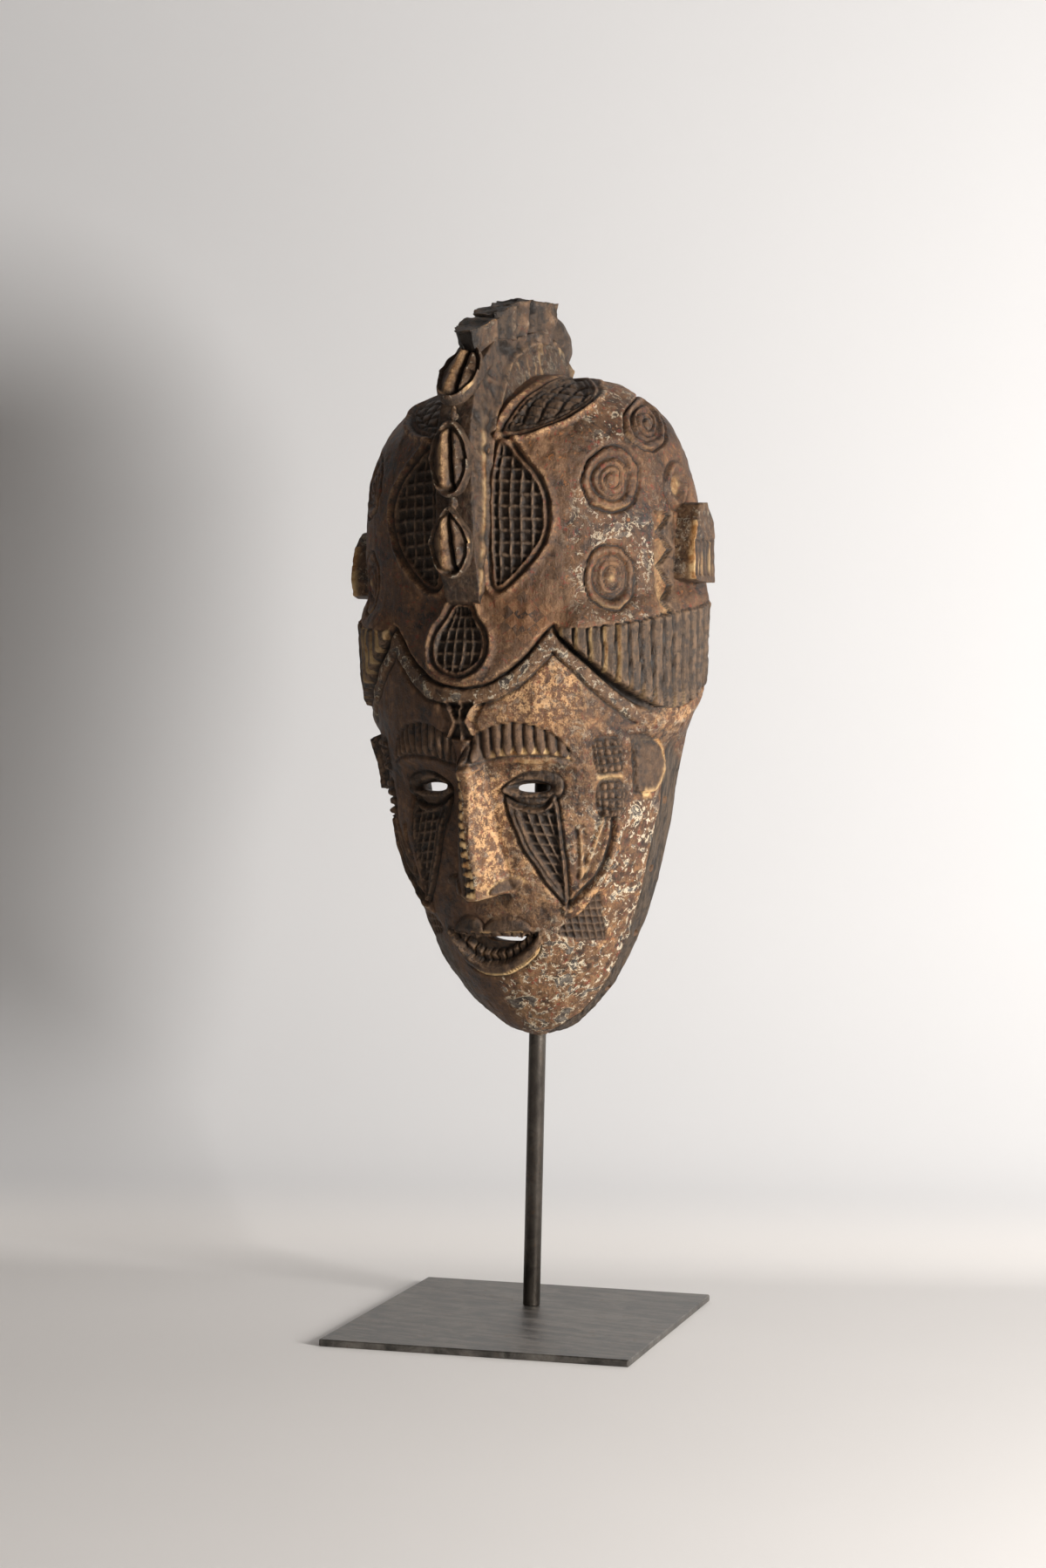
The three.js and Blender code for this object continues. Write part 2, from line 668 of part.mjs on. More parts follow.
// The mask sits on the rod a little out of plumb
function leanMatrix() {
  const axis = new THREE.Vector3(Math.sin(LEAN_AXIS_ANGLE), -Math.cos(LEAN_AXIS_ANGLE), 0);
  return new THREE.Matrix4()
    .makeTranslation(0, 0, LEAN_HEIGHT)
    .multiply(new THREE.Matrix4().makeRotationAxis(axis, LEAN))
    .multiply(new THREE.Matrix4().makeTranslation(0, 0, -LEAN_HEIGHT));
}

function woodMask() {
  const material = new THREE.MeshStandardMaterial({ color: 0x4a382c, roughness: 0.8, metalness: 0 });
  const geometry = geometryOf(maskSolid());
  geometry.applyMatrix4(leanMatrix());
  const mesh = new THREE.Mesh(geometry, material);
  mesh.name = 'mask';
  return mesh;
}

function basePlate() {
  const w = PLATE_WIDTH / 2;
  const d = PLATE_DEPTH / 2;
  const r = PLATE_CORNER;
  const outline = new THREE.Shape();
  outline.moveTo(-w + r, -d);
  outline.lineTo(w - r, -d);
  outline.absarc(w - r, -d + r, r, -Math.PI / 2, 0, false);
  outline.lineTo(w, d - r);
  outline.absarc(w - r, d - r, r, 0, Math.PI / 2, false);
  outline.lineTo(-w + r, d);
  outline.absarc(-w + r, d - r, r, Math.PI / 2, Math.PI, false);
  outline.lineTo(-w, -d + r);
  outline.absarc(-w + r, -d + r, r, Math.PI, Math.PI * 1.5, false);
  const bevel = 0.6;
  const geometry = new THREE.ExtrudeGeometry(outline, {
    depth: PLATE_THICK - 2 * bevel,
    bevelEnabled: true,
    bevelThickness: bevel,
    bevelSize: bevel,
    bevelOffset: -bevel,
    bevelSegments: 1,
    curveSegments: 3,
  });
  geometry.translate(-ROD_FROM_PLATE_CENTRE[0], -ROD_FROM_PLATE_CENTRE[1], bevel);
  const material = new THREE.MeshStandardMaterial({ color: 0x3a3835, roughness: 0.45, metalness: 0.85 });
  const mesh = new THREE.Mesh(geometry, material);
  mesh.name = 'base_plate';
  mesh.rotation.z = PLATE_TURN;
  return mesh;
}

// The rod stands on the plate and ends just under the crown, inside the mask
function rod() {
  const reach = rodTop();
  const foot = PLATE_THICK + GAP;
  const geometry = new THREE.CylinderGeometry(ROD_DIAMETER / 2, ROD_DIAMETER / 2, reach - foot, ROD_SIDES);
  geometry.rotateX(Math.PI / 2);
  const material = new THREE.MeshStandardMaterial({ color: 0x1f1d1b, roughness: 0.35, metalness: 0.9 });
  const mesh = new THREE.Mesh(geometry, material);
  mesh.name = 'rod';
  mesh.position.z = (reach + foot) / 2;
  return mesh;
}

// Height at which the rod's flat end just clears the hollow's roof
function rodTop() {
  const tryTop = (top) => {
    const pin = new THREE.CylinderGeometry(ROD_DIAMETER / 2 + GAP, ROD_DIAMETER / 2 + GAP, 40, ROD_SIDES);
    pin.rotateX(Math.PI / 2);
    pin.translate(0, 0, top + GAP - 20);
    pin.applyMatrix4(leanMatrix().invert());
    return solidOf(pin).subtract(innerEgg()).volume() < 0.5;
  };
  let top = CROWN_Z - WALL - 20;
  while (tryTop(top + 0.25)) top += 0.25;
  return top;
}

const group = new THREE.Group();
group.add(basePlate(), rod(), woodMask());
export default group;
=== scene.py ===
import math

import bpy
import numpy as np
from mathutils import Matrix, Vector


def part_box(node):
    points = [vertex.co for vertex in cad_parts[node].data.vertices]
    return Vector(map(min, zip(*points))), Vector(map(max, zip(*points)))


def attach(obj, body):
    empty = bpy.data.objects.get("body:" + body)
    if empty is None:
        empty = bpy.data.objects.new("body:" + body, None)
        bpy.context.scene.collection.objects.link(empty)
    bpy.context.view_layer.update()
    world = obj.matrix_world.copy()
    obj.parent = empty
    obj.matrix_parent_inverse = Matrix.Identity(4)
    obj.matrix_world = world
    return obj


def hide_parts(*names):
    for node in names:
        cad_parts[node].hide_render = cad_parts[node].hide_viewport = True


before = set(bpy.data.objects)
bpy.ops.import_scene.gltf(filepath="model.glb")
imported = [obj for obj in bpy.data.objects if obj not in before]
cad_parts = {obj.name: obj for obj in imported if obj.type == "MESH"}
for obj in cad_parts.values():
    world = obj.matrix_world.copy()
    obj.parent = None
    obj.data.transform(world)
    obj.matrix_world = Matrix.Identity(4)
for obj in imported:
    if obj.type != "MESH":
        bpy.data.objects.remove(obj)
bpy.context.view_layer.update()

bpy.ops.object.select_all(action="DESELECT")

# Base plate
# The foot of the stand is one flat plate of hot-rolled steel, 4 mm thick, sawn square and waxed dark.
# Its rolled skin is mottled grey with brown streaks, and the edges are rubbed bright.

MM = 0.001
PLATE_TURN = math.radians(14.13)
RUST_BROWN = (0.1, 0.062, 0.04, 1)


class Wiring:
    """Adds nodes to one shader tree. A socket given as an input is linked, a plain value is set."""

    def __init__(self, tree):
        self.tree = tree

    def put(self, kind, inputs=None, **settings):
        made = self.tree.nodes.new("ShaderNode" + kind)
        for key, value in settings.items():
            setattr(made, key, value)
        for key, value in (inputs or {}).items():
            if isinstance(value, bpy.types.NodeSocket):
                self.tree.links.new(value, made.inputs[key])
            else:
                made.inputs[key].default_value = value
        return made

    def calc(self, operation, first, second=0.0):
        return self.put("Math", {0: first, 1: second}, operation=operation).outputs[0]

    def plus(self, first, second):
        return self.calc("ADD", first, second)

    def times(self, first, second):
        return self.calc("MULTIPLY", first, second)

    def mixed(self, share, first, second, blend="MIX"):
        inputs = {0: share, 6: first, 7: second}
        return self.put("Mix", inputs, data_type="RGBA", blend_type=blend).outputs[2]

    def ramp(self, value, low, high, low_out=0.0, high_out=1.0):
        inputs = {0: value, 1: low, 2: high, 3: low_out, 4: high_out}
        return self.put("MapRange", inputs, interpolation_type="SMOOTHSTEP").outputs[0]

    def noise(self, place, scale, detail=3.0, roughness=0.5, distortion=0.0):
        return self.put("TexNoise", {"Vector": place, "Scale": scale, "Detail": detail,
                                     "Roughness": roughness, "Distortion": distortion}).outputs["Fac"]

    def stretched(self, place, factors, turn=(0, 0, 0)):
        return self.put("Mapping", {"Vector": place, "Scale": factors, "Rotation": turn}).outputs["Vector"]

    def shade(self, color, roughness, height, depth, strength):
        shader = self.tree.nodes["Principled BSDF"]
        self.tree.links.new(color, shader.inputs["Base Color"])
        self.tree.links.new(roughness, shader.inputs["Roughness"])
        bump = self.put("Bump", {"Height": height, "Distance": depth, "Strength": strength})
        self.tree.links.new(bump.outputs["Normal"], shader.inputs["Normal"])
        return shader


def new_group(name, vectors_in, values_out, build):
    made = bpy.data.node_groups.new(name, "ShaderNodeTree")
    for in_out, kind, labels in (("INPUT", "Vector", vectors_in), ("OUTPUT", "Float", values_out)):
        for label in labels:
            made.interface.new_socket(name=label, in_out=in_out, socket_type="NodeSocket" + kind)
    entry = made.nodes.new("NodeGroupInput")
    leave = made.nodes.new("NodeGroupOutput")
    for label, value in build(Wiring(made), entry.outputs).items():
        made.links.new(value, leave.inputs[label])
    return made


def new_material(name):
    material = bpy.data.materials.new(name)
    material.use_nodes = True
    w = Wiring(material.node_tree)
    return material, w, w.put("TexCoord").outputs["Object"]


def mottle_nodes(w, given):
    place = given["Place"]
    patches = w.noise(place, 55.0, 7.0, 0.68, 0.8)
    lines = w.noise(given["Along"], 45.0, 6.0, 0.65, 0.3)
    spots = w.noise(place, 190.0, 4.0, 0.6, 1.2)
    rust = w.times(w.ramp(spots, 0.54, 0.68), w.ramp(patches, 0.42, 0.6))
    return {"Mottle": w.plus(w.times(patches, 0.45), w.times(lines, 0.55)), "Rust": rust,
            "Fine": w.noise(place, 650.0, 4.0, 0.6)}


steel_mottle = new_group("steel mottle", ("Place", "Along"), ("Mottle", "Rust", "Fine"), mottle_nodes)


def steel_material(name, dark, light, metallic, rough_low, rough_high, streak, turn=0.0):
    material, w, place = new_material(name)
    rolled = w.stretched(place, streak, (0, 0, turn))
    marks = w.put("Group", {"Place": place, "Along": rolled}, node_tree=steel_mottle).outputs
    color = w.mixed(w.ramp(marks["Mottle"], 0.38, 0.62), dark, light)
    color = w.mixed(w.times(marks["Rust"], 0.6), color, RUST_BROWN)
    shader = w.shade(color, w.ramp(marks["Mottle"], 0.3, 0.7, rough_low, rough_high),
                     w.plus(marks["Fine"], marks["Mottle"]), 0.00025, 0.6)
    shader.inputs["Metallic"].default_value = metallic
    return material


def set_material(piece, material):
    piece.data.materials.clear()
    piece.data.materials.append(material)


plate_steel = steel_material("plate steel", (0.045, 0.042, 0.038, 1), (0.2, 0.185, 0.165, 1), 0.7, 0.36,
                             0.52, (0.5, 3.0, 1.0), PLATE_TURN)
set_material(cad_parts["base_plate"], plate_steel)

# Rod
# A round bar of blackened steel, 10 mm thick, welded upright to the plate; it carries the mask from
# inside the crown.

ROD_RADIUS = 5.0 * MM
ROD_SIDES = 64
ROD_CHAMFER = 0.4 * MM


def only(piece):
    bpy.ops.object.select_all(action="DESELECT")
    piece.select_set(True)
    bpy.context.view_layer.objects.active = piece


def apply_modifier(piece, kind, **settings):
    only(piece)
    made = piece.modifiers.new(kind.lower(), kind)
    for key, value in settings.items():
        setattr(made, key, value)
    bpy.ops.object.modifier_apply(modifier=made.name)


def solid(kind, **measures):
    getattr(bpy.ops.mesh, f"primitive_{kind}_add")(**measures)
    return bpy.context.object


def keep(piece, name, slot, *nodes):
    piece.name = name
    piece.data.name = name
    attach(piece, "root")
    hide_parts(*nodes)


rod_low, rod_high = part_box("rod")
rod_height = rod_high.z - rod_low.z
rod = solid("cylinder", vertices=ROD_SIDES, radius=ROD_RADIUS, depth=rod_height,
            location=(0, 0, rod_low.z + rod_height / 2))
bpy.ops.object.transform_apply(location=True, rotation=True, scale=True)
apply_modifier(rod, "BEVEL", width=ROD_CHAMFER, segments=2, angle_limit=math.radians(60))
bpy.ops.object.shade_smooth_by_angle(angle=math.radians(35))
rod_steel = steel_material("rod steel", (0.035, 0.03, 0.026, 1), (0.11, 0.095, 0.08, 1), 0.75, 0.3, 0.45,
                           (1.0, 1.0, 0.12))
set_material(rod, rod_steel)
keep(rod, "rod_bar", "rod", "rod")

# Mask body
# One block of wood, hollowed to a wall of about 11 mm and worn over the face. The dome, hair band,
# brows, panels and features are carved into its front, and a thin paint crust and dark patina cover it.

CHIN = 163.0
CROWN = 546.0
WALL = 11.0
LEAN = math.radians(1.49)
LEAN_HEIGHT = 457.0
LEAN_AXIS = math.radians(28)
FACE_WIDEST = -8.0
DOME_WIDEST = -18.0
BACK_DEPTH = 62.0
COLUMNS = 331
ROWS = 520
INNER_COLUMNS = 61

# Height, half width and foremost point of the bare form
STATIONS = np.array([
    (163, 0, -14), (168, 18, -29), (175, 28, -38), (190, 43, -51), (215, 59, -64), (247, 72, -77),
    (285, 82, -89), (320, 88, -94), (352, 94, -99), (400, 98, -100), (440, 100, -100), (472, 97, -101),
    (500, 90, -96), (520, 78, -84), (534, 60, -64), (542, 38, -44), (546, 0, -18)], float)


def station_curve(column):
    x, y = STATIONS[:, 0], STATIONS[:, column]
    h = np.diff(x)
    slope = np.diff(y) / h
    tangent = np.zeros(len(x))
    tangent[0], tangent[-1] = slope[0], slope[-1]
    for i in range(1, len(x) - 1):
        if slope[i - 1] * slope[i] > 0:
            w1, w2 = 2 * h[i] + h[i - 1], h[i] + 2 * h[i - 1]
            tangent[i] = (w1 + w2) / (w1 / slope[i - 1] + w2 / slope[i])

    def curve(value):
        v = np.clip(value, x[0], x[-1])
        i = np.clip(np.searchsorted(x, v, side="right") - 1, 0, len(x) - 2)
        t = (v - x[i]) / h[i]
        rise = y[i + 1] - y[i]
        a, b = h[i] * tangent[i], h[i] * tangent[i + 1]
        return y[i] + a * t + (3 * rise - 2 * a - b) * t * t + (a + b - 2 * rise) * t ** 3

    return curve


half_width = station_curve(1)
front = station_curve(2)


def ease(low, high, x):
    t = np.clip((x - low) / (high - low), 0, 1)
    return t * t * (3 - 2 * t)


def bell(x, middle, width):
    return np.exp(-(((x - middle) / width) ** 2))


def between(x, low, low_full, high_full, high):
    """1 from low_full to high_full, easing off to 0 at low and at high."""
    return ease(low, low_full, x) * (1 - ease(high_full, high, x))


def bare_point(turn, z):
    s, c = np.sin(turn), np.cos(turn)
    power = 2 / (2.3 - 0.3 * ease(480, 540, z) - 0.3 * (1 - ease(165, 200, z)))
    widest = FACE_WIDEST + (DOME_WIDEST - FACE_WIDEST) * ease(400, 500, z)
    back = BACK_DEPTH * np.sqrt(np.maximum(0, half_width(z) / 100))
    depth = np.where(c > 0, widest - front(z), back)
    x = half_width(z) * np.sign(s) * np.abs(s) ** power
    y = widest - depth * np.sign(c) * np.abs(c) ** power
    return np.stack(np.broadcast_arrays(x, y, z), -1)


def bare_normal(turn, z):
    across = bare_point(turn + 0.01, z) - bare_point(turn - 0.01, z)
    above = bare_point(turn, np.minimum(z + 0.5, CROWN - 0.01))
    below = bare_point(turn, np.maximum(z - 0.5, CHIN + 0.01))
    normal = np.cross(across, above - below)
    return normal / np.linalg.norm(normal, axis=-1, keepdims=True)


def rim_depth(z):
    """How far back the open edge lies at a height: nearly straight up the side, then over the dome."""
    t = np.linspace(0, 1, 9)
    over_z = 420 * (1 - t) ** 2 + 960 * t * (1 - t) + 550 * t ** 2
    over_y = 2 * (1 - t) ** 2 + 12 * t * (1 - t) + 34 * t ** 2
    return np.interp(z, [CHIN, 183, 340, 352, 364, *over_z], [-10.5, -10.5, -8, -6, 2, *over_y])


def girth_rows(heights):
    turns = np.linspace(0, math.pi, 361)
    points = bare_point(turns[None, :], heights[:, None])
    steps = np.linalg.norm(np.diff(points, axis=1), axis=2)
    lengths = np.concatenate([np.zeros((len(heights), 1)), np.cumsum(steps, 1)], 1)
    return turns, points, lengths


def heights_by_walk(count, turn=0.7):
    z = np.linspace(CHIN, CROWN, 4000)
    walk = np.linalg.norm(np.diff(bare_point(turn, z), axis=0), axis=1)
    return np.interp(np.linspace(0, 1, count), np.concatenate([[0], np.cumsum(walk)]) / walk.sum(), z)


def smooth_line(corners, count=40, closed=False):
    points = np.array(corners, float)
    if closed:
        points = np.concatenate([points[-1:], points, points[:2]])
    else:
        points = np.concatenate([[2 * points[0] - points[1]], points, [2 * points[-1] - points[-2]]])
    spans = len(points) - 3
    out = []
    for t in np.linspace(0, spans, count, endpoint=not closed):
        i = min(int(t), spans - 1)
        f = t - i
        p0, p1, p2, p3 = points[i:i + 4]
        out.append(0.5 * (2 * p1 + (p2 - p0) * f + (2 * p0 - 5 * p1 + 4 * p2 - p3) * f ** 2
                          + (3 * p1 - p0 - 3 * p2 + p3) * f ** 3))
    return np.array(out)


def along(line, x):
    """The height of a drawn line at x."""
    return np.interp(x, line[:, 0], line[:, 1])


def distance_to(a, z, line, closed=False):
    ends = np.roll(line, -1, axis=0) if closed else line[1:]
    best = np.full(a.shape, 1e9)
    for (x0, y0), (x1, y1) in zip(line[:len(ends)], ends):
        dx, dy = x1 - x0, y1 - y0
        t = np.clip(((a - x0) * dx + (z - y0) * dy) / max(dx * dx + dy * dy, 1e-9), 0, 1)
        best = np.minimum(best, (a - x0 - t * dx) ** 2 + (z - y0 - t * dy) ** 2)
    return np.sqrt(best)


def depth_in(a, z, outline):
    inside = np.zeros(a.shape, bool)
    for (x0, y0), (x1, y1) in zip(outline, np.roll(outline, -1, axis=0)):
        if y0 != y1:
            inside ^= ((y0 > z) != (y1 > z)) & (a < (x1 - x0) * (z - y0) / (y1 - y0) + x0)
    far = distance_to(a, z, outline, closed=True)
    return np.where(inside, far, -far)


def cloud(a, z, size, seed):
    rng = np.random.default_rng(seed)
    grid = rng.random((160, 160))
    x, y = (a / size + 60) % 159, (z / size) % 159
    i, j = x.astype(int), y.astype(int)
    f, g = ease(0, 1, x - i), ease(0, 1, y - j)
    i1, j1 = (i + 1) % 160, (j + 1) % 160
    low = grid[i, j] * (1 - f) + grid[i1, j] * f
    high = grid[i, j1] * (1 - f) + grid[i1, j1] * f
    return (low * (1 - g) + high * g) * 2 - 1


def bars(x, pitch, width):
    off = np.abs((x / pitch + 0.5) % 1 - 0.5) * pitch
    return np.exp(-((off / width) ** 2))


FINISHES = ("black", "rubbed", "raw", "chalk", "tooled", "red", "check", "smoke")
CELLS = ("cell_across", "cell_along", "cell_inside")


class Carving:
    """The height of the carved skin over the bare form, and where each finish lies on it.

    In millimetres, a is the way round from the middle line, plus to the viewer's right, s the same
    without its sign, and z the height. Both wander a little, as hand-drawn lines do.
    """

    def __init__(self, girth, z):
        self.a = girth + 0.45 * cloud(girth, z, 11, 70) + 0.2 * cloud(girth, z, 4.5, 71)
        self.z = z + 0.45 * cloud(girth, z, 12, 72) + 0.2 * cloud(girth, z, 4.5, 73)
        self.s = np.abs(self.a)
        self.height = np.zeros(z.shape)
        for name in FINISHES + CELLS:
            setattr(self, name, np.zeros(z.shape))
        self.cell_inside -= 3

    def add(self, **amounts):
        for finish, amount in amounts.items():
            setattr(self, finish, np.clip(getattr(self, finish) + amount, 0, 1))

    def cover(self, mask, **values):
        for finish, value in values.items():
            setattr(self, finish, getattr(self, finish) * (1 - mask) + value * mask)

    def paint(self, mask, **values):
        self.cover(mask, **{**dict.fromkeys(FINISHES, 0), **values})

    def chip(self, mask):
        """Take the dark skin off, down to the raw wood."""
        self.cover(mask, black=0)
        self.add(raw=mask)


def soft_modelling(c):
    s, z = c.s, c.z
    c.height += 7 * bell(s, 0, 46) * bell(z, 362, 34) - 7.5 * bell(s, 34, 23) * bell(z, 308, 14)
    down = np.clip((320 - z) / 69, 0, 1)
    nose_half = 9 + 9 * down ** 1.5
    on = between(z, 248.5, 252.0, 318, 336)
    slope = np.clip((nose_half - s) / (nose_half - 3.0), 0, 1)
    c.height += on * (12 + 5 * down) * slope ** 0.9
    c.height += 5 * bell(s, 0, 32) * bell(z, 222, 24)


HAIR_LINE = smooth_line([(-6, 365.5), (0, 365), (18, 369), (35, 382), (50, 399), (56, 393), (84, 367),
                         (104, 354)], 60)


def paint_crust(c):
    a, z = c.a, c.z
    c.over_hair = z - along(HAIR_LINE, c.s)
    face = 1 - ease(-1, 3, c.over_hair)
    # lit is the right half, which the key light falls on: the rubbed, chalk and red coats of the face go
    # mostly there, partly as painted light
    lit = ease(-9, 4, a)
    forehead = bell(a, 44, 22) * bell(z, 366, 19)
    nose_side = bell(a, 11, 10) * between(z, 250, 260, 310, 324)
    cheek = bell(a, 40, 60) * bell(z, 300, 70)
    c.add(rubbed=face * lit * (0.22 + 1.3 * forehead + 0.9 * nose_side + 0.12 * cheek))
    chin = (1 - ease(205, 236, z)) * ease(-12, 6, a)
    jaw = bell(a, 92, 24) * (1 - ease(280, 315, z))
    flecks = between(a, 52, 66, 124, 135) * (0.25 + 0.75 * ease(-0.2, 0.35, cloud(a, z, 26, 61)))
    c.add(chalk=face * lit * (0.3 + 0.8 * chin + 0.8 * jaw) + (1 - face) * (0.12 + 0.36 * lit * flecks))
    c.add(red=0.75 * (1 - face) + face * lit * (0.45 + 0.4 * np.clip(chin + jaw, 0, 1)))
    # Painted shade darkens the whole left half, away from the key light; the far right and a patch on the
    # dome are made darker in tone
    far_side = (0.35 * ease(24, 56, a) + 0.55 * ease(66, 90, a)) * face + 0.6 * (1 - face) * ease(62, 88, a)
    under_crest = (1 - face) * (0.05 + 0.4 * bell(a, 56, 12) * bell(z, 478, 34))
    c.add(smoke=0.62 * (1 - lit) + lit * far_side + under_crest)
    stain = ease(0.1, 0.45, cloud(a, z, 17, 62)) * lit
    c.add(black=0.34 * stain * (0.75 + 0.25 * (1 - face)))
    low_dome = (1 - face) * bell(a, 33, 15) * bell(z, 404, 15) * (c.over_hair > 2)
    c.add(check=low_dome, rubbed=0.4 * low_dome)


def dome_edge(c):
    d = distance_to(c.s, c.z, HAIR_LINE)
    side = np.where(c.over_hair > 0, d, -d)
    ends = 1 - ease(94, 104, c.s)
    step, foot = bell(side, -0.4, 1.0), bell(side, -10.6, 1.0)
    c.height += ends * (1.6 * ease(0, 1.6, side) * (1 - ease(10, 40, side)) - 1.9 * step)
    strip = ends * between(side, -10.2, -9.0, -2.4, -1.2)
    c.height += 1.6 * strip - 1.5 * foot * ends
    c.paint(0.85 * strip, black=0.35, chalk=0.95, rubbed=0.1)
    c.add(black=ends * (0.7 * step + 0.4 * bell(side, -10.6, 0.9)))
    c.add(rubbed=0.7 * ends * bell(side, 1.9, 0.8))


BAND_LOW = smooth_line([(46, 401), (52, 396), (83, 370), (105, 357), (119, 354), (142, 359), (190, 386)], 60)
BAND_HIGH = smooth_line([(46, 398), (56, 398), (83, 400), (115, 406), (190, 419)], 50)
FLUTE_PITCH = 7.3
FLUTES_START = 55.4


def middle(z):
    """The carver's middle line wanders: this is its girth at a height."""
    return np.interp(z, [250, 262, 300, 318, 330, 346, 360, 368, 376, 410, 420],
                     [0, -0.8, -4.0, -5.0, -4.6, -2.2, -1.0, 0, 1.6, 1.6, 0])


def streaks(a, size, seed):
    """A cloud that only changes round the girth."""
    return cloud(a, np.zeros_like(a), size, seed)


def hair_band(c):
    s, z = c.s, c.z
    low, high = along(BAND_LOW, s), along(BAND_HIGH, s)
    under_top = ease(-0.2, 0.9, high - z)
    on = ease(0, 0.9, z - low) * under_top * ease(53.5, 55, s)
    wave = s + 1.0 * cloud(c.a, 0.3 * z, 17, 5) + 0.03 * (z - 390)
    phase = (wave - FLUTES_START) / FLUTE_PITCH % 1
    off = np.abs(phase - 0.5)
    gap = 1 - ease(0.35, 1.2, FLUTE_PITCH * (0.5 - off))
    roundness = np.cos(off * math.pi) ** 0.5
    level = 5.0 + 1.5 * ease(55, 90, s) + 0.6 * roundness - 3.4 * gap + 0.3 * cloud(c.a * 2, z, 8, 6)
    c.cover(on, height=level)
    above = ease(52, 66, s) * (1 - ease(0, 17, z - high)) * (z >= high)
    c.height += 5.6 * above * (1 - under_top * on)
    flare = ease(88, 120, s) * ease(-26, -2, z - low) * (z < low)
    c.height += 6.0 * flare
    c.paint(on, black=0.45, tooled=0.75, chalk=0.16, smoke=0.15)
    c.add(black=on * 0.6 * gap)
    front_raw = (1 - ease(84, 92, s)) * ease(-1.1, -0.4, cloud(c.a, 0.4 * z, 9, 15))
    low_raw = (1 - ease(3, 13, z - low)) * (0.35 + 0.9 * ease(132, 142, s))
    low_raw = low_raw * ease(-0.2, 0.2, streaks(c.a, 6, 16))
    raw = on * bell(phase, 0.15, 0.09) * np.clip(front_raw + low_raw, 0, 1)
    c.chip(raw)
    c.add(rubbed=0.45 * flare)
    c.cover(0.6 * flare, smoke=0)
    # Painted shadow: a black line under the band's lower edge, over a shallow undercut, where the band
    # overhangs the face
    under = bell(z - low, -1.8, 2.3) * between(s, 52, 58, 100, 124)
    c.height -= 3.4 * under
    c.add(black=1.2 * under)


BROW_LOW = np.array([(3.5, 321), (6, 323), (22.5, 326.6), (37.5, 328.2), (51, 327.6), (62, 323.5)])
BROW_HIGH = np.array([(3.5, 324), (6, 332), (11, 339), (20.5, 344.3), (33, 346.3), (42, 345), (50, 340.5),
                      (57, 333), (62, 324)])
BROW_PITCH = 5.4


def brows(c):
    z = c.z
    # The right brow is longer than the left one, so each is stretched to the same drawing
    s = np.where(c.a > middle(z), (c.a + 8.5) * 62 / 70.5, -c.a * 62 / 60 - 2.4)
    low, high = along(BROW_LOW, s), along(BROW_HIGH, s)
    span = (s > 3.8) * (s < 62)
    on = ease(0, 0.7, z - low) * ease(0, 0.7, high - z) * span
    c.brow = on
    off = np.abs((s - 4.0 + 0.35 * cloud(c.a, z, 12, 8)) / BROW_PITCH % 1 - 0.5) * 2
    share = np.clip((z - low) / np.maximum(high - low, 1), 0, 1)
    wide = 0.82 * np.clip(share / 0.2, 0.05, 1) ** 0.45
    log = np.sqrt(np.clip(1 - (off / wide) ** 2, 0, 1))
    gap = 1 - ease(0.1, 0.5, log)
    c.height += on * (1.0 - 3.0 * share ** 1.3 + 2.0 * (log - 0.55))
    c.height -= 1.0 * bell(z - high, -0.2, 0.8) * span
    c.paint(on, black=0.45)
    c.add(black=on * 0.6 * gap)
    wedge = on * gap * (1 - ease(0.16, 0.3, share)) * ease(14, 22, s) * (c.a > 0)
    c.chip(wedge)
    ledge = bell(z - low, -0.9, 0.7) * span
    c.add(black=0.8 * ledge + 0.35 * bell(z - high, 0.3, 0.7) * span)
    c.height += 1.4 * bell(z - low, -3.6, 2.4) * span - 0.9 * ledge
    scratches = ease(0.25, 0.5, cloud(c.a / 4, z, 2.4, 17)) * bell(z - low, -4.5, 2.6) * span * (c.a > 0)
    c.add(raw=0.45 * scratches)


EYE = smooth_line([(16.4, 307), (24, 313.5), (34, 317), (46, 316.6), (52.5, 313.5), (51.5, 304.5), (43, 300),
                   (33, 298.6), (24, 301.2)], 44, True)


def eyes(c):
    s, z = c.s, c.z
    d = depth_in(s, z, EYE)
    on = ease(-0.3, 0.5, d)
    slit = ((s - 33.5) / 11.5) ** 2 + ((z - 308.9) / 3.2) ** 2
    lower = ease(-0.8, 0.8, 308.8 - z)
    lid = 2.4 * bell(slit, 2.6, 1.6) * (0.35 + 0.65 * lower)
    c.height += on * (0.6 + lid - 4.5 * (1 - ease(0.7, 1.5, slit)))
    c.height -= 1.4 * bell(d, -0.3, 0.8)
    c.paint(on, black=0.84)
    c.add(black=0.7 * bell(d, -0.2, 0.7))
    c.add(rubbed=0.2 * bell(d, -2.0, 1.2) * (z > 308) * (c.a > 0))


def lattice_field(c, d, across, along, depth=2.3, black=0.8, line=0.9):
    """Cells cut between thin bars; across and along count cells, d is the distance inside the edge."""
    on = ease(-0.3, 0.5, d)
    off_across = np.abs((across + 0.5) % 1 - 0.5)
    off_along = np.abs((along + 0.5) % 1 - 0.5)
    bar = np.maximum(1 - ease(0.05, 0.2, off_across), 0.75 * (1 - ease(0.08, 0.26, off_along)))
    c.height += on * (-0.5 - depth * (1 - bar)) + line * bell(d, -0.3, 0.7)
    c.paint(on, black=black)
    near = d > -2
    for name, value in (("cell_across", across), ("cell_along", along), ("cell_inside", np.clip(d, -3, 3))):
        setattr(c, name, np.where(near, value, getattr(c, name)))
    return on


def framed(c, d, ridge_at, ridge=2.0):
    """A dark groove and then a raised worn ridge round a field."""
    groove_at = -ridge_at / 2 - 0.3
    c.height += ridge * bell(d, -ridge_at, 1.9) - 1.6 * bell(d, groove_at, 1.2)
    c.add(black=0.75 * bell(d, groove_at, 1.3))
    c.cover(0.8 * bell(d, -ridge_at, 1.2), black=0.08)
    c.add(rubbed=0.6 * bell(d, -ridge_at, 1.3))


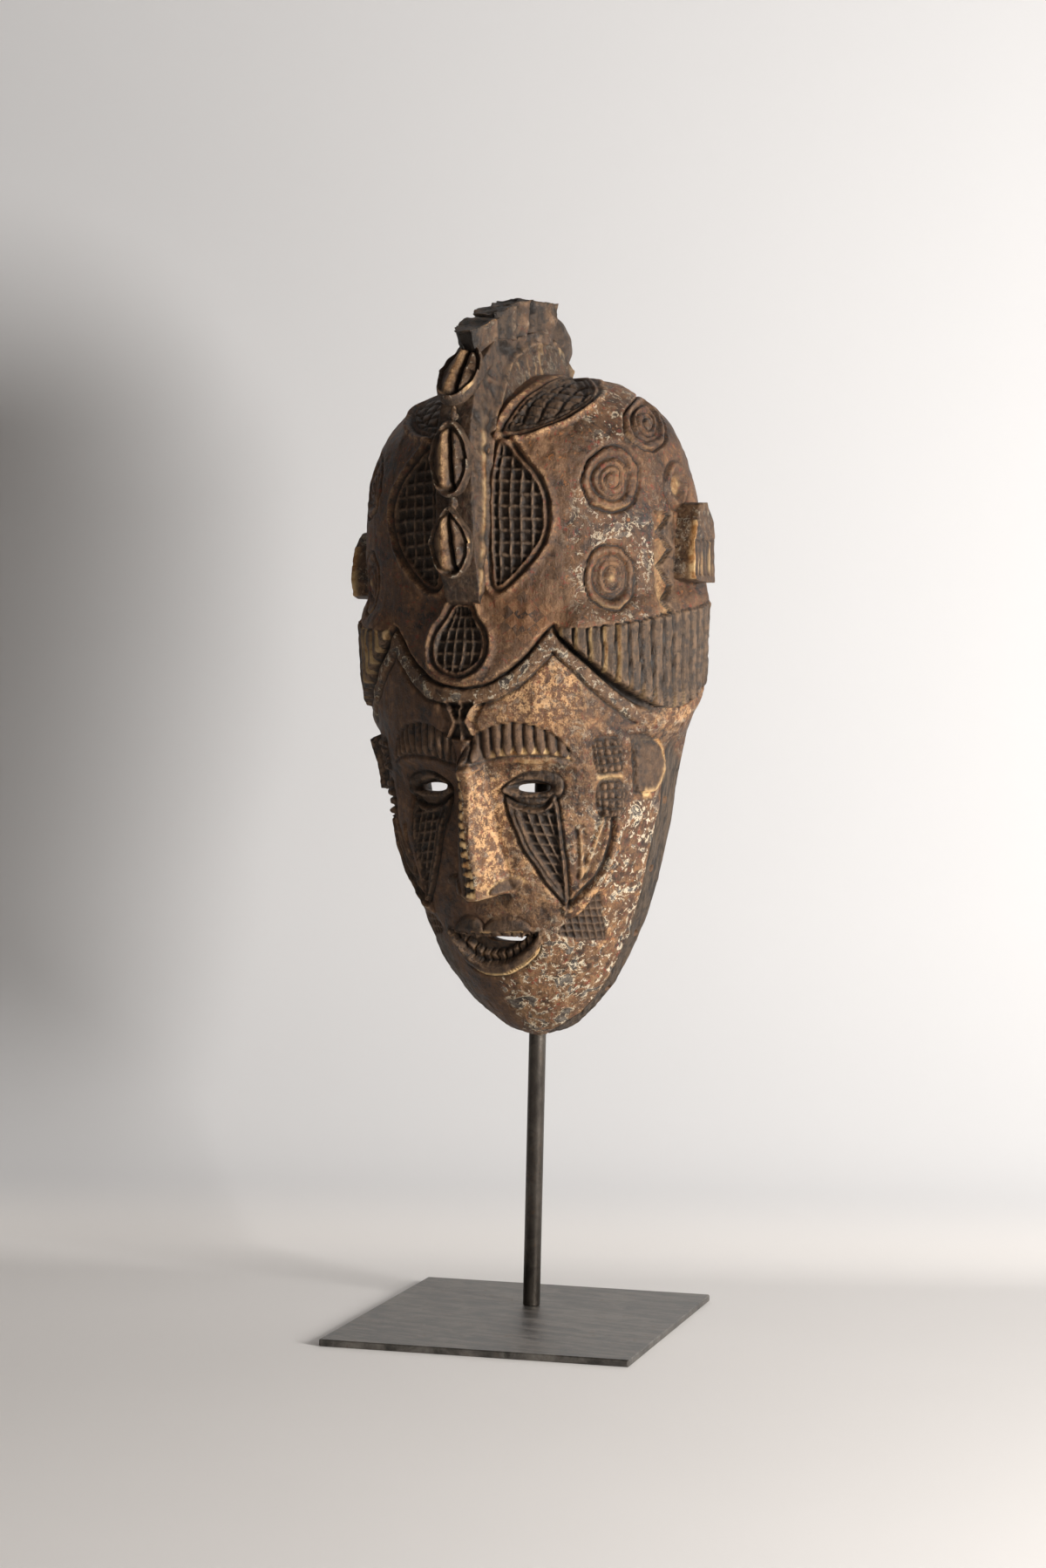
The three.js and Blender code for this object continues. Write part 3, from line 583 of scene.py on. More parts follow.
ALMOND = smooth_line([(20, 501), (33, 489), (43.2, 476), (46.6, 462), (43, 446), (32, 432), (19, 422),
                      (17, 440), (17, 462), (17.5, 484)], 60, True)
LEAF = smooth_line([(21.5, 509), (30, 510.5), (39.4, 513), (51.9, 519.5), (58.7, 526.5), (58.8, 531),
                    (54, 535.5), (46, 540.5), (39, 544), (34, 544), (29.5, 538), (26, 528), (22.8, 518)],
                   60, True)
PEAR = smooth_line([(-6.5, 410), (-11, 403), (-16.5, 395), (-18, 386), (-14.5, 378), (-3.5, 374), (7.5, 378),
                    (12, 386), (10.5, 395), (5, 403), (1, 410)], 60, True)
CHEEK = smooth_line([(38, 227), (52, 238), (66.6, 251), (66.4, 238), (65.6, 222.5), (50, 222.8)], 40, True)
TEAR = smooth_line([(17.5, 303), (24, 298.6), (33, 296.5), (41, 297.5), (47.5, 303), (49, 290), (49.5, 265),
                    (46.5, 244), (43, 246.5), (33.5, 262), (24.5, 283)], 60, True)


def almond_panels(c):
    # The left panel is a little wider than the right one
    s, z = c.s * np.where(c.a < 0, 47 / 50.5, 1), c.z
    d = depth_in(s, z, ALMOND)
    framed(c, d, 5.4)
    lattice_field(c, d, (s - 20.6) / 6.4, (z - 426 + 0.05 * s) / 6.9)


def leaf_panels(c):
    s, z = c.s, c.z
    d = depth_in(s, z, LEAF)
    framed(c, d, 6.4, ridge=2.4 * (1 - ease(524, 534, z)))
    on = ease(-0.3, 0.5, d)
    c.height -= 1.6 * on * ease(526, 538, z)
    long_cut = bars(s - 27.5 - 0.4 * cloud(c.a, z, 9, 31), 9.4, 1.0)
    cross_cut = bars(z - 509 + 0.1 * (s - 30), 5.0, 0.6)
    border = bell(d, 2.6, 0.7)
    c.height += on * (-0.9 - 2.2 * np.maximum(long_cut * ease(2.4, 3.4, d), 0.75 * cross_cut) - 0.8 * border)
    c.height += 0.6 * bell(d, 1.0, 0.7) - 1.6 * bell(d, -0.6, 0.6)
    c.paint(on, black=0.7)
    c.add(black=on * (0.4 * long_cut + 0.3 * cross_cut + 0.3 * border) + 0.9 * bell(d, -0.5, 0.8))
    c.cover(bell(d, -6.4, 1.5) * (z < 533), rubbed=0.9)


def pear_panel(c):
    d = depth_in(c.a, c.z, PEAR)
    framed(c, d, 5.0, ridge=2.4)
    half = np.interp(c.z, [372, 380, 388, 395, 403, 413], [12, 14.6, 15.2, 13.4, 9, 4])
    lattice_field(c, d, (c.a + 3) / half * 2.6 + 0.5, (c.z - 377.2) / 6.9, black=0.85)


BOW_MIDDLE = 346.8
BOW_HALF_HEIGHT = 10.2


def bow_tie(c):
    z = c.z
    a = c.a - middle(z)
    free = 1 - c.brow
    t = np.abs(z - BOW_MIDDLE) / BOW_HALF_HEIGHT
    half = 3.2 + 5.2 * np.clip(t, 0, 1) ** 1.1
    edge = np.abs(a) - half
    on = ease(-0.3, 0.4, -edge) * (1 - ease(0.95, 1.04, t)) * free
    spine = bell(a, 0, 0.8)
    c.height -= on * 4.6 * ease(0.06, 0.34, t) * (1 - spine)
    c.paint(on, black=0.95 - 0.3 * spine)
    ridge = bell(edge, 0.7, 0.6) * (t < 1.03) * free
    c.height += 1.2 * ridge - 0.5 * bell(t * 10.6, 11.4, 0.9) * (np.abs(a) < 9)
    # The sloping facets beside the block: the right one is lightened as painted light and the left one
    # darkened as painted shade
    facet = between(edge, 0.6, 1.4, 4.5, 7.0) * (1 - ease(0.95, 1.1, t)) * free
    c.height -= 0.35 * facet * np.clip(edge, 0, 6)
    c.add(rubbed=(0.5 * ridge + 0.3 * facet) * (a > -1), raw=0.3 * ridge * (a > 0) * (z < 343),
          black=0.35 * facet * (a < 2))


def tear_panels(c):
    s, z = c.s, c.z
    d = depth_in(s, z, TEAR)
    on = ease(-0.2, 0.5, d)
    left = np.interp(z, [244, 262, 283, 303], [43.5, 32.5, 23.5, 17])
    right = np.interp(z, [244, 265, 303], [46.5, 50, 48])
    near_left = s < (left + right) / 2
    ridge = bell(d, 1.3, 0.8) + 0.7 * bell(d, 3.7, 0.6) * near_left
    c.height += 1.8 * ridge - 2.0 * bell(d, -0.9, 0.8)
    c.paint(on, black=0.68)
    c.add(black=0.95 * bell(d, -0.9, 0.9) + 0.3 * bell(d, 2.6, 0.5))
    cells = depth_in(s - 1.5, z - 1.5, TEAR) - 3.1
    across = (s - left - 5.6) / 5.5
    rows = (z - 250 + 0.1 * (s - 30)) / 5.6
    lattice_field(c, cells, across, rows, depth=2.2, black=0.72, line=0)
    c.add(rubbed=0.7 * bell(d, -2.8, 1.1) * (c.a > 0))


TEMPLE = 80.6
# Low and high edge, lean, and how square the corners are
TEMPLE_BLOCKS = ((317, 336.5, 0.1, 5), (291.5, 313.0, 0.0, 2.6))


def temple_blocks(c):
    for low, high, lean, power in TEMPLE_BLOCKS:
        x, y = c.s - TEMPLE, c.z - (low + high) / 2
        u, v = x + lean * y, y - lean * x
        corner = np.abs(u / 8.6) ** power + np.abs(v / ((high - low) / 2 + 0.3)) ** power
        on = 1 - ease(0.85, 1.15, corner)
        groove = np.maximum(bars(u + 2.1, 4.3, 0.75), bars(v, (high - low) / 4.2, 0.7))
        c.height += on * (1.9 - 3.0 * groove) - 1.5 * bell(corner, 1.2, 0.25)
        c.paint(on, black=0.5 + 0.5 * groove)
        c.add(black=0.5 * bell(corner, 1.2, 0.25))
    c.add(raw=0.55 * bell(c.z, 314.8, 1.3) * (1 - ease(7, 9, np.abs(c.s - 80.5))) * (c.a > 0))


EAR_FRONT = 97
EAR_MIDDLE = 322
EAR_HALF_HEIGHT = 15.8


def d_ears(c):
    s, z = c.s, c.z
    bow = np.sqrt(np.maximum(0, 1 - ((z - EAR_MIDDLE) / EAR_HALF_HEIGHT) ** 2))
    d = np.minimum(s - EAR_FRONT, EAR_HALF_HEIGHT - np.abs(z - EAR_MIDDLE))
    d = np.minimum(d, EAR_FRONT + 9 + 15.5 * bow - s)
    on = ease(-0.2, 0.8, d)
    # The right ear lies low on the face, the left one stands proud
    proud = np.where(c.a > 0, 1.6 - 2.4 * ease(330, 337, z), 6.8 - 0.12 * (s - EAR_FRONT))
    c.height += on * proud - 1.5 * bell(d, -0.7, 0.7)
    c.paint(on, black=0.66)
    # The darker top of each ear and the black along its top edge are painted shade; along the front edge the
    # black marks a groove
    c.add(black=0.9 * bell(d, -0.5, 0.8) * ((s < 99) + (z > 334)) + 0.4 * on * ease(331, 336, z))
    arc = (s > 103) * (z < 336) * (c.a > 0)
    edge = np.clip(1.3 * bell(d, -0.6, 1.5 + 0.6 * (z < 320)), 0, 1) * arc
    c.height += 0.8 * edge
    c.chip(edge)


SWOOSH = smooth_line([(81, 292), (77, 276), (66, 259), (47, 243)], 24)
CHEEK_LINES = [smooth_line(corners, 16) for corners in (
    [(76, 296), (72, 285), (66, 273), (57.5, 259)], [(60.5, 286), (60, 276), (58.5, 266), (56.5, 258)])]


def swoosh(c):
    s, z = c.s, c.z
    d = distance_to(s, z, SWOOSH)
    under = z < along(SWOOSH[::-1], s)
    inner = (~under) * (s > 50)
    groove = bell(d, 0, 1.0)
    c.height += 1.3 * bell(d, 2.6, 1.2) - 2.4 * groove
    strip = between(d, 0.8, 2.0, 6, 8.5) * under * (s > 43) * (s < 84)
    c.height += 1.6 * strip
    c.add(black=0.8 * groove + 0.3 * bell(d, 4.4, 1.2) * inner)
    c.add(rubbed=0.6 * strip + 0.5 * bell(d, 2.4, 1.0) * inner)
    for line in CHEEK_LINES:
        e = distance_to(s, z, line)
        c.height += 1.2 * bell(e, 0, 0.8) - 0.9 * bell(e, 2.2, 1.0)
        c.add(raw=0.3 * bell(e, 0, 0.6) * (c.a > 0), rubbed=0.35 * bell(e, 0.6, 1.0),
              black=0.3 * bell(e, 2.2, 0.9))


def cheek_triangles(c):
    d = depth_in(c.s, c.z, CHEEK)
    c.height -= 0.8 * bell(d, -0.5, 1.0)
    across = (c.s - 40 + 0.05 * (c.z - 222)) / 4.1
    lattice_field(c, d, across, (c.z - 223) / 4.4, depth=1.5, black=0.5, line=0.5)
    c.add(rubbed=0.6 * bell(d, -2.4, 1.2) * (c.s > 60))


def nose_teeth(c):
    z = c.z
    a = c.a - middle(z)
    on = between(z, 252.5, 254, 315, 318) * between(a, -4.6, -4.0, 2.6, 3.2)
    off = np.abs(((z - 254) / 5.2 + 0.1 * cloud(a, z, 9, 3)) % 1 - 0.5)
    wedge = ease(-0.05, 0.05, 0.47 * (1 - (a + 4.0) / 7.4) - off)
    c.height -= on * 1.7 * wedge
    c.paint(on, black=0.95 * wedge, raw=0.85 * (1 - wedge), red=0.5)
    smear = bell(a, 4.6, 1.3) * between(z, 258, 266, 296, 312)
    c.add(black=0.35 * smear)
    c.add(chalk=0.6 * bell(a, 3.4, 0.8) * between(z, 250, 254, 312, 318))
    # Painted shade: a black line down the left side of the nose, over a shallow groove
    nose = (z > 251) * (z < 318)
    c.height -= 1.0 * bell(a, -4.8, 0.8) * nose
    c.add(black=0.8 * bell(a, -4.9, 1.0) * nose)


def nostrils(c):
    s, z = c.s, c.z
    tilt = z - 255.3 - 0.16 * (s - 16)
    leaf = 1 - ((s - 16.3) / 7.8) ** 2 - (tilt / 3.5) ** 2
    on = ease(0, 0.22, leaf)
    c.height += 2.2 * on
    c.paint(on, black=0.68)
    c.add(raw=0.8 * bell(leaf, -0.15, 0.16) * (tilt > -0.5) * (c.a > 0))
    c.add(raw=0.8 * bell(z, 251.3, 0.8) * (s < 11))
    under = between(z, 240, 246, 248.5, 251) * (1 - ease(10, 17, s))
    c.height -= 2.2 * under
    c.add(black=0.45 * under, red=0.4 * under)


MOUTH_LOW = smooth_line([(-30, 227), (-23, 213.5), (-12, 205.5), (0, 203.6), (13, 208), (24, 216), (30, 226)],
                        40)
LIP_LINE = 228.6


def mouth(c):
    a, z, s = c.a, c.z, c.s
    floor = along(MOUTH_LOW, a)
    inside = ease(0, 1.0, z - floor) * ease(0, 0.6, LIP_LINE - z) * (s < 30)
    lobe = np.where(a < -2.5, 1 - ((a + 12.5) / 10.2) ** 2, 1 - ((a - 10.5) / 14) ** 2)
    lip_top = LIP_LINE + 0.8 + 7.2 * np.clip(lobe, 0, 1) ** 0.55
    lip = ease(0, 0.8, z - LIP_LINE - 0.6) * ease(0, 1.0, lip_top - z) * (lobe > 0)
    c.height += 2.2 * lip * (1 - 0.6 * ease(0, 8, z - LIP_LINE)) - bell(z - lip_top, 0.6, 0.8) * (lobe > 0)
    c.paint(lip, black=0.74 + 0.2 * (a < -2), smoke=0.4)
    line = bell(z, LIP_LINE, 0.8) * (s < 31)
    c.height += 1.6 * line
    dashes = ease(-0.2, 0.2, streaks(a, 3.4, 19) + 0.1) * (a > -11) * (a < 20)
    c.cover(line * (1 - dashes), black=0.75)
    c.add(raw=0.95 * line * dashes)
    teeth_low = 222.6 + 1.9 * np.abs(np.sin(math.pi * (a - 1) / 5.6)) + 0.004 * a ** 2
    upper = inside * ease(0, 0.7, z - teeth_low)
    band = z - floor
    lower_lip = inside * (1 - ease(6.0, 7.2, band))
    wobble = a + 0.9 * cloud(a, z, 7, 4) + 0.12 * (z - 215)
    tooth = ease(0.15, 0.6, np.abs(np.sin(math.pi * wobble / 4.9)))
    low_teeth = inside * ease(6.0, 7.0, band) * (1 - ease(11.0, 12.0, band + 3.0 * (1 - tooth))) * (1 - upper)
    deep = inside * (1 - upper) * (1 - lower_lip) * (1 - low_teeth)
    c.height -= 1.4 * upper * bars(a - 1, 5.6, 0.6) + 7.5 * deep
    c.height += lower_lip * (0.8 + 2.2 * np.sin(math.pi * np.clip(band / 7.0, 0, 1)))
    c.height += low_teeth * (-2.8 - 2.6 * (1 - tooth))
    c.paint(inside, black=0.93)
    c.cover(lower_lip, black=0.7)
    c.cover(upper, black=0.72)
    c.cover(upper * 0.8, red=0.6)
    c.cover(low_teeth * tooth, black=0.72)
    c.add(raw=0.5 * low_teeth * bell(tooth, 0.6, 0.16) + 0.3 * bell(z, teeth_low, 0.5) * inside)
    outer_edge = np.clip(1.3 * bell(band, -0.5, 1.25), 0, 1) * (s < 27) * (a > -14)
    c.chip(outer_edge)
    c.height += 1.8 * bell(band, 0.0, 1.1) * (s < 29) - 1.6 * bell(band, -2.3, 1.0) * (s < 28)
    c.add(black=0.7 * bell(band, -2.2, 0.9) * (s < 28))


# Girth and height of the middle, half width and half height, tilt, and whether the ring is a spiral
RINGS = ((84.7, 481, 17, 18.5, 0, 1), (84, 425.5, 15, 17.5, 0, 0), (106.5, 515.5, 20, 16, 0.6, 1))


def rings(c):
    for middle_s, middle_z, across, up, tilt, spiral in RINGS:
        x, y = c.s - middle_s, c.z - middle_z
        u = (x * math.cos(tilt) - y * math.sin(tilt)) / across
        v = (x * math.sin(tilt) + y * math.cos(tilt)) / up
        angle = np.arctan2(v, u)
        r = np.hypot(u, v) * 17 + 1.1 * cloud(c.a, c.z, 8, 11) + 0.5 * cloud(c.a, c.z, 3.5, 12)
        on = 1 - ease(17.6, 18.6, r)
        turn = 3.8 * angle / (2 * math.pi) * spiral
        open_side = 0.75 + 0.45 * np.clip(-np.cos(angle - 0.5), 0, 1)
        crescent = bell(r, 11.3, 1.0 + 0.3 * (np.cos(angle) < 0)) * open_side
        inner = bars(r - turn - 1.5, 3.8, 0.65) * (r < 9.8) * (r > 2.4)
        cut = bell(r, 17.4, 0.65) + crescent + 0.75 * inner
        swell = 0.8 * bell(r, 14.4, 1.8) + 0.9 * bell(r, 1.0, 1.6)
        c.height += on * (swell - 0.7) - 2.5 * np.clip(cut, 0, 1.3)
        c.add(black=0.6 * np.clip(cut, 0, 1))
        c.cover(0.7 * on, chalk=0.12)
        c.cover(on * 0.5, rubbed=0.16)
        c.add(raw=0.6 * bell(r, 0.6, 1.1) * (1 - spiral) + 0.3 * bell(r, 15.9, 0.5) * (v < -0.7))


def zigzag_band(c):
    s, z = c.s, c.z
    low, high = 405, 464
    ends = between(z, low, low + 1, high - 1, high)
    side = between(s, 112.5, 113.5, 127.5, 128.5) * ends
    tooth = np.abs(((z - low) / 19.6 + 0.1) % 1 - 0.5) * 2
    border = 115.5 + 10 * tooth
    tan_part = side * ease(-0.4, 0.4, border - s)
    cut = np.clip(bell(s - border, 0, 0.75) * side + 0.8 * bell(s, 113.2, 0.7) * ends, 0, 1)
    c.height += side * 0.6 - 2.8 * tan_part - 1.8 * cut
    c.paint(side, black=0.5, chalk=0.2)
    c.paint(tan_part, raw=0.2, red=0.6, rubbed=0.35, smoke=0.3)
    c.add(black=0.9 * cut)
    loop = np.hypot((s - 135) / 12, (z - 479) / 13.5)
    c.height += 1.5 * bell(loop, 0.8, 0.14) - 1.5 * bell(loop, 1.06, 0.09) - 1.8 * (1 - ease(0.4, 0.6, loop))
    c.add(black=0.6 * bell(loop, 1.06, 0.1) + 0.5 * bell(loop, 0.56, 0.1))
    c.add(raw=0.4 * (1 - ease(0.3, 0.5, loop)))


def side_strip(c):
    s, z = c.s, c.z
    arris = np.interp(z, [163, 178, 192, 224, 262, 301, 325, 344], [4, 40, 60, 86, 104, 120, 123, 131])
    on = ease(-0.5, 0.7, s - arris) * (1 - ease(336, 348, z + (s - 123)))
    c.height -= 1.0 * on + 0.7 * bell(s - arris, 0.6, 0.9) * (z < 340)
    c.paint(on, tooled=1, smoke=0.35)
    jaw = ease(0, 6, -c.a - (30 + 0.42 * (z - 205))) * (1 - ease(258, 296, z)) * (1 - on)
    c.paint(0.95 * jaw, tooled=0.95)


def carve(girth, z):
    c = Carving(girth, z)
    for step in (soft_modelling, paint_crust, dome_edge, side_strip, rings, zigzag_band, almond_panels,
                 leaf_panels, pear_panel, hair_band, brows, bow_tie, swoosh, tear_panels, eyes,
                 temple_blocks, d_ears, cheek_triangles, nose_teeth, nostrils, mouth):
        step(c)
    chips = 0.3 * ease(-0.1, 0.1, cloud(c.a, z, 7, 24) - 0.15)
    flat_cuts = 0.7 * np.abs(cloud(c.a, z * 0.7, 15, 25))
    for amount, size, seed in ((0.3, 14, 1), (0.22, 4.5, 2), (0.14, 2.2, 9)):
        c.height += amount * cloud(c.a, z, size, seed)
    c.height += c.tooled * (0.5 * cloud(c.a * 1.5, z / 3, 5, 7) + 0.3) - chips - flat_cuts
    return c


def lean_matrix():
    axis = Vector((math.sin(LEAN_AXIS), -math.cos(LEAN_AXIS), 0))
    lift = Matrix.Translation((0, 0, LEAN_HEIGHT * MM))
    return lift @ Matrix.Rotation(LEAN, 4, axis) @ lift.inverted()


heights = heights_by_walk(ROWS)
turn_steps, ring_points, ring_lengths = girth_rows(heights)
even = np.linspace(-1, 1, COLUMNS)
columns = 0.8 * even + 0.2 * even ** 3
a_grid = np.zeros((ROWS, COLUMNS))
turn_grid = np.zeros((ROWS, COLUMNS))
closed_row = np.zeros(ROWS, bool)
for row, height in enumerate(heights):
    limit = rim_depth(height)
    depths = ring_points[row, :, 1]
    closed_row[row] = depths[-1] <= limit
    rim_turn = math.pi if closed_row[row] else np.interp(limit, np.maximum.accumulate(depths), turn_steps)
    reach = np.interp(rim_turn, turn_steps, ring_lengths[row])
    a_grid[row] = columns * reach
    turn_grid[row] = np.sign(even) * np.interp(np.abs(a_grid[row]), ring_lengths[row], turn_steps)
z_grid = np.repeat(heights[:, None], COLUMNS, 1)
carving = carve(a_grid, z_grid)
near_rim = ease(0.975, 1.0, np.abs(even))[None, :]
fade = np.where(closed_row[:, None], 1 - ease(0.9, 1.0, np.abs(even))[None, :], 1 - 0.5 * near_rim)
outer = bare_point(turn_grid, z_grid) + bare_normal(turn_grid, z_grid) * (carving.height * fade)[..., None]
outer[closed_row, -1] = outer[closed_row, 0]
outer[0] = (0, -12.5, CHIN)
outer[-1] = outer[-1, 0]

# Inside of the mask
# The hollow follows the outside about 11 mm away. It is hewn with a small adze, in short scoops, and
# left bare and dark; the back edge is cut flat between the two skins.

HOLLOW_AXIS = (0, -15, 0)
inner_low, inner_high = CHIN + WALL + 2, CROWN - WALL
across = np.linspace(-1, 1, INNER_COLUMNS)


def inner_point(turn, outer_z):
    point = bare_point(turn, outer_z)
    share = (outer_z - CHIN) / (CROWN - CHIN)
    widest = FACE_WIDEST + (DOME_WIDEST - FACE_WIDEST) * ease(400, 500, outer_z)
    point[..., 0] *= np.maximum(0.3, 1 - WALL / np.maximum(half_width(outer_z), 1))
    scale = np.maximum(0.3, 1 - WALL / np.maximum(widest - front(outer_z), 1))
    point[..., 1] = widest + (point[..., 1] - widest) * scale
    point[..., 2] = inner_low + (inner_high - inner_low) * share
    return point


inner = np.zeros((ROWS, INNER_COLUMNS, 3))
for row, height in enumerate(heights):
    ring = inner_point(turn_steps, height)
    limit = rim_depth(ring[0, 2])
    rim_turn = np.clip(np.interp(limit, np.maximum.accumulate(ring[:, 1]), turn_steps), 0.8, math.pi - 0.02)
    inner[row] = inner_point(across * (math.pi if closed_row[row] else rim_turn), height)
scoop_x = across[None, :] * 11 + 0.5 * (np.floor(inner[..., 2] / 13) % 2)
scoops = np.abs(np.sin(math.pi * scoop_x)) + np.abs(np.sin(math.pi * inner[..., 2] / 13))
hewn = 0.9 * scoops + 0.5 * cloud(across[None, :] * 90, inner[..., 2], 9, 21)
hewn *= 1 - ease(0.9, 1.0, np.abs(across))
outwards = inner - HOLLOW_AXIS
outwards[..., 2] = 0
outwards /= np.maximum(np.linalg.norm(outwards, axis=-1, keepdims=True), 1)
inner += outwards * hewn[..., None]
inner[closed_row, -1] = inner[closed_row, 0]
inner[0] = (0, rim_depth(inner_low), inner_low)
inner[-1] = inner[-1, 0]

count_outer = ROWS * COLUMNS
outer_index = np.arange(count_outer).reshape(ROWS, COLUMNS)
inner_index = np.arange(ROWS * INNER_COLUMNS).reshape(ROWS, INNER_COLUMNS) + count_outer


def grid_faces(index, flip):
    q = np.stack([index[:-1, :-1], index[:-1, 1:], index[1:, 1:], index[1:, :-1]], -1).reshape(-1, 4)
    return q[:, ::-1] if flip else q


def rim_faces(outer_line, inner_line, flip):
    q = np.stack([outer_line[:-1], outer_line[1:], inner_line[1:], inner_line[:-1]], -1)
    q = q[~closed_row[:-1]]
    return q[:, ::-1] if flip else q


faces = np.concatenate([
    grid_faces(outer_index, False),
    grid_faces(inner_index, True),
    rim_faces(outer_index[:, -1], inner_index[:, -1], False),
    rim_faces(outer_index[:, 0], inner_index[:, 0], True),
])
points = np.concatenate([outer.reshape(-1, 3), inner.reshape(-1, 3)]) * MM

# Girth and height of the small holes along the open edge
RIM_HOLES = [(133, 344), (125, 301), (110, 262), (94, 224), (67, 192)]


def turn_at(girth, z):
    turns, _, lengths = girth_rows(np.array([float(z)]))
    return math.copysign(np.interp(abs(girth), lengths[0], turns), girth)


def on_skin(girth, z):
    turn = np.array(turn_at(girth, z))
    return bare_point(turn, float(z)), bare_normal(turn, float(z))


def mesh_piece(name, verts, polys):
    mesh = bpy.data.meshes.new(name)
    mesh.from_pydata(verts.tolist(), [], polys.tolist() if isinstance(polys, np.ndarray) else polys)
    piece = bpy.data.objects.new(name, mesh)
    bpy.context.scene.collection.objects.link(piece)
    return piece


def in_edit(piece, *steps):
    only(piece)
    bpy.ops.object.mode_set(mode="EDIT")
    bpy.ops.mesh.select_all(action="SELECT")
    for step in steps:
        step()
    bpy.ops.object.mode_set(mode="OBJECT")


def face_outwards():
    bpy.ops.mesh.normals_make_consistent(inside=False)


def cut_up(times):
    return lambda: bpy.ops.mesh.subdivide(number_cuts=times)


def read(items, field, width=1, kind=float):
    values = np.zeros(len(items) * width, kind)
    items.foreach_get(field, values)
    return values.reshape(-1, width) if width > 1 else values


def store(piece, name, values):
    layer = piece.data.attributes.new(name, "FLOAT", "POINT")
    layer.data.foreach_set("value", np.ascontiguousarray(values, dtype=np.float32).ravel())


def smoothed(field, passes):
    for _ in range(passes):
        padded = np.pad(field, 1, mode="edge")
        field = (padded[:-2, 1:-1] + padded[2:, 1:-1] + padded[1:-1, :-2] + padded[1:-1, 2:] + 4 * field) / 8
    return field


NO_CELLS = -3.0
MERGE_WITHIN = 0.000005
# What the attribute "part" says: face below 0, dome above 0, inside at this value
INSIDE = 50.0

shell = mesh_piece("shell", points, faces)
extra = ROWS * INNER_COLUMNS


def store_both(name, outside, inside):
    store(shell, name, np.concatenate([outside.ravel(), np.full(extra, float(inside))]))


INSIDE_FINISH = {"tooled": 1, "smoke": 0.5, "cell_inside": NO_CELLS}
for name in FINISHES + CELLS:
    store_both(name, getattr(carving, name), INSIDE_FINISH.get(name, 0))
# hollow: how far each point lies below its smoothed surroundings, which the wood material turns into painted
# shade in recesses and a painted highlight on proud edges
store_both("hollow", smoothed(carving.height, 10) - carving.height, 0)
over_band = z_grid - along(BAND_LOW, carving.s)
part = np.where(carving.s < 50, carving.over_hair + 0.8, over_band + 0.3)
store_both("part", np.clip(part, -5, 5), INSIDE)
in_edit(shell, lambda: bpy.ops.mesh.remove_doubles(threshold=MERGE_WITHIN), face_outwards)


def reshaped(piece, function):
    """Move every vertex of a piece, given and returned in millimetres."""
    co = function(read(piece.data.vertices, "co", 3) / MM)
    piece.data.vertices.foreach_set("co", co.astype(np.float32).ravel() * MM)
    piece.data.update()


def slit_cutter(girth, z, half_long, low, high):
    """A pin through the wall with a lens or crescent section: low and high give its edges over -1 to 1."""
    spot, normal = on_skin(girth, z)
    made = solid("cylinder", vertices=28, radius=MM, depth=60 * MM)
    angle = math.atan2(normal[0], -normal[1]) / 2
    spin = np.array([[math.cos(angle), -math.sin(angle), 0], [math.sin(angle), math.cos(angle), 0],
                     [0, 0, 1]])

    def shape(co):
        x, y = np.clip(co[:, 0], -1, 1), co[:, 1]
        up = np.where(y > 0, high(x), low(x)) * np.clip(np.abs(y) * 8, 0, 1)
        return np.stack([x * half_long, co[:, 2], up], 1) @ spin.T + spot

    reshaped(made, shape)
    return made


def lens_edge(height):
    return lambda x: height * np.sqrt(np.maximum(0, 1 - x * x)) ** 0.8


# The eye slits, the mouth opening and the rim holes are pins through the wall, all taken away in one cut
cutters = [slit_cutter(side * 33.5, 309, 9.4, lens_edge(-2.4), lens_edge(2.5)) for side in (1, -1)]
cutters.append(slit_cutter(5.2, 224.2, 12.5, lens_edge(-3.2), lens_edge(0.5)))
for girth, z in RIM_HOLES:
    for side in (1, -1):
        spot, normal = on_skin(girth * side, z)
        hole = solid("cylinder", vertices=14, radius=2.0 * MM, depth=40 * MM)
        hole.data.transform(Vector((0, 0, 1)).rotation_difference(Vector(normal)).to_matrix().to_4x4())
        hole.data.transform(Matrix.Translation(Vector(spot) * MM))
        cutters.append(hole)
for hole in cutters:
    in_edit(hole, face_outwards)
for hole in cutters:
    hole.select_set(True)
bpy.context.view_layer.objects.active = cutters[0]
bpy.ops.object.join()
apply_modifier(shell, "BOOLEAN", operation="DIFFERENCE", solver="MANIFOLD", object=cutters[0])
bpy.data.objects.remove(cutters[0])
shell.data.transform(lean_matrix())
bpy.ops.object.shade_smooth()


def grain_nodes(w, given):
    place = given["Place"]
    upright = w.stretched(place, (1.0, 1.0, 0.06))
    return {"Grain": w.noise(upright, 420.0, 5.0, 0.65, 0.5), "Patch": w.noise(place, 34.0, 7.0, 0.66, 0.9),
            "Fine": w.noise(place, 210.0, 6.0, 0.7, 0.3), "Grit": w.noise(place, 820.0, 4.0, 0.65)}


def flake_nodes(w, given):
    drift = w.put("VectorMath", {0: given["Place"], 1: (0.37, 0.11, 0.53)}, operation="ADD").outputs[0]
    level = w.noise(drift, 100.0, 5.0, 0.6, 1.1)
    small = w.noise(drift, 300.0, 4.0, 0.65, 0.6)
    off = w.calc("ABSOLUTE", w.calc("SUBTRACT", level, 0.575))
    line = w.times(w.ramp(off, 0.012, 0.026, 1.0, 0.0), w.ramp(small, 0.45, 0.51))
    return {"Line": line, "Lost": w.ramp(level, 0.575, 0.585), "Speck": w.ramp(small, 0.6, 0.62)}


wood_grain = new_group("wood grain", ("Place",), ("Grain", "Patch", "Fine", "Grit"), grain_nodes)
flaking = new_group("flaking paint", ("Place",), ("Line", "Lost", "Speck"), flake_nodes)


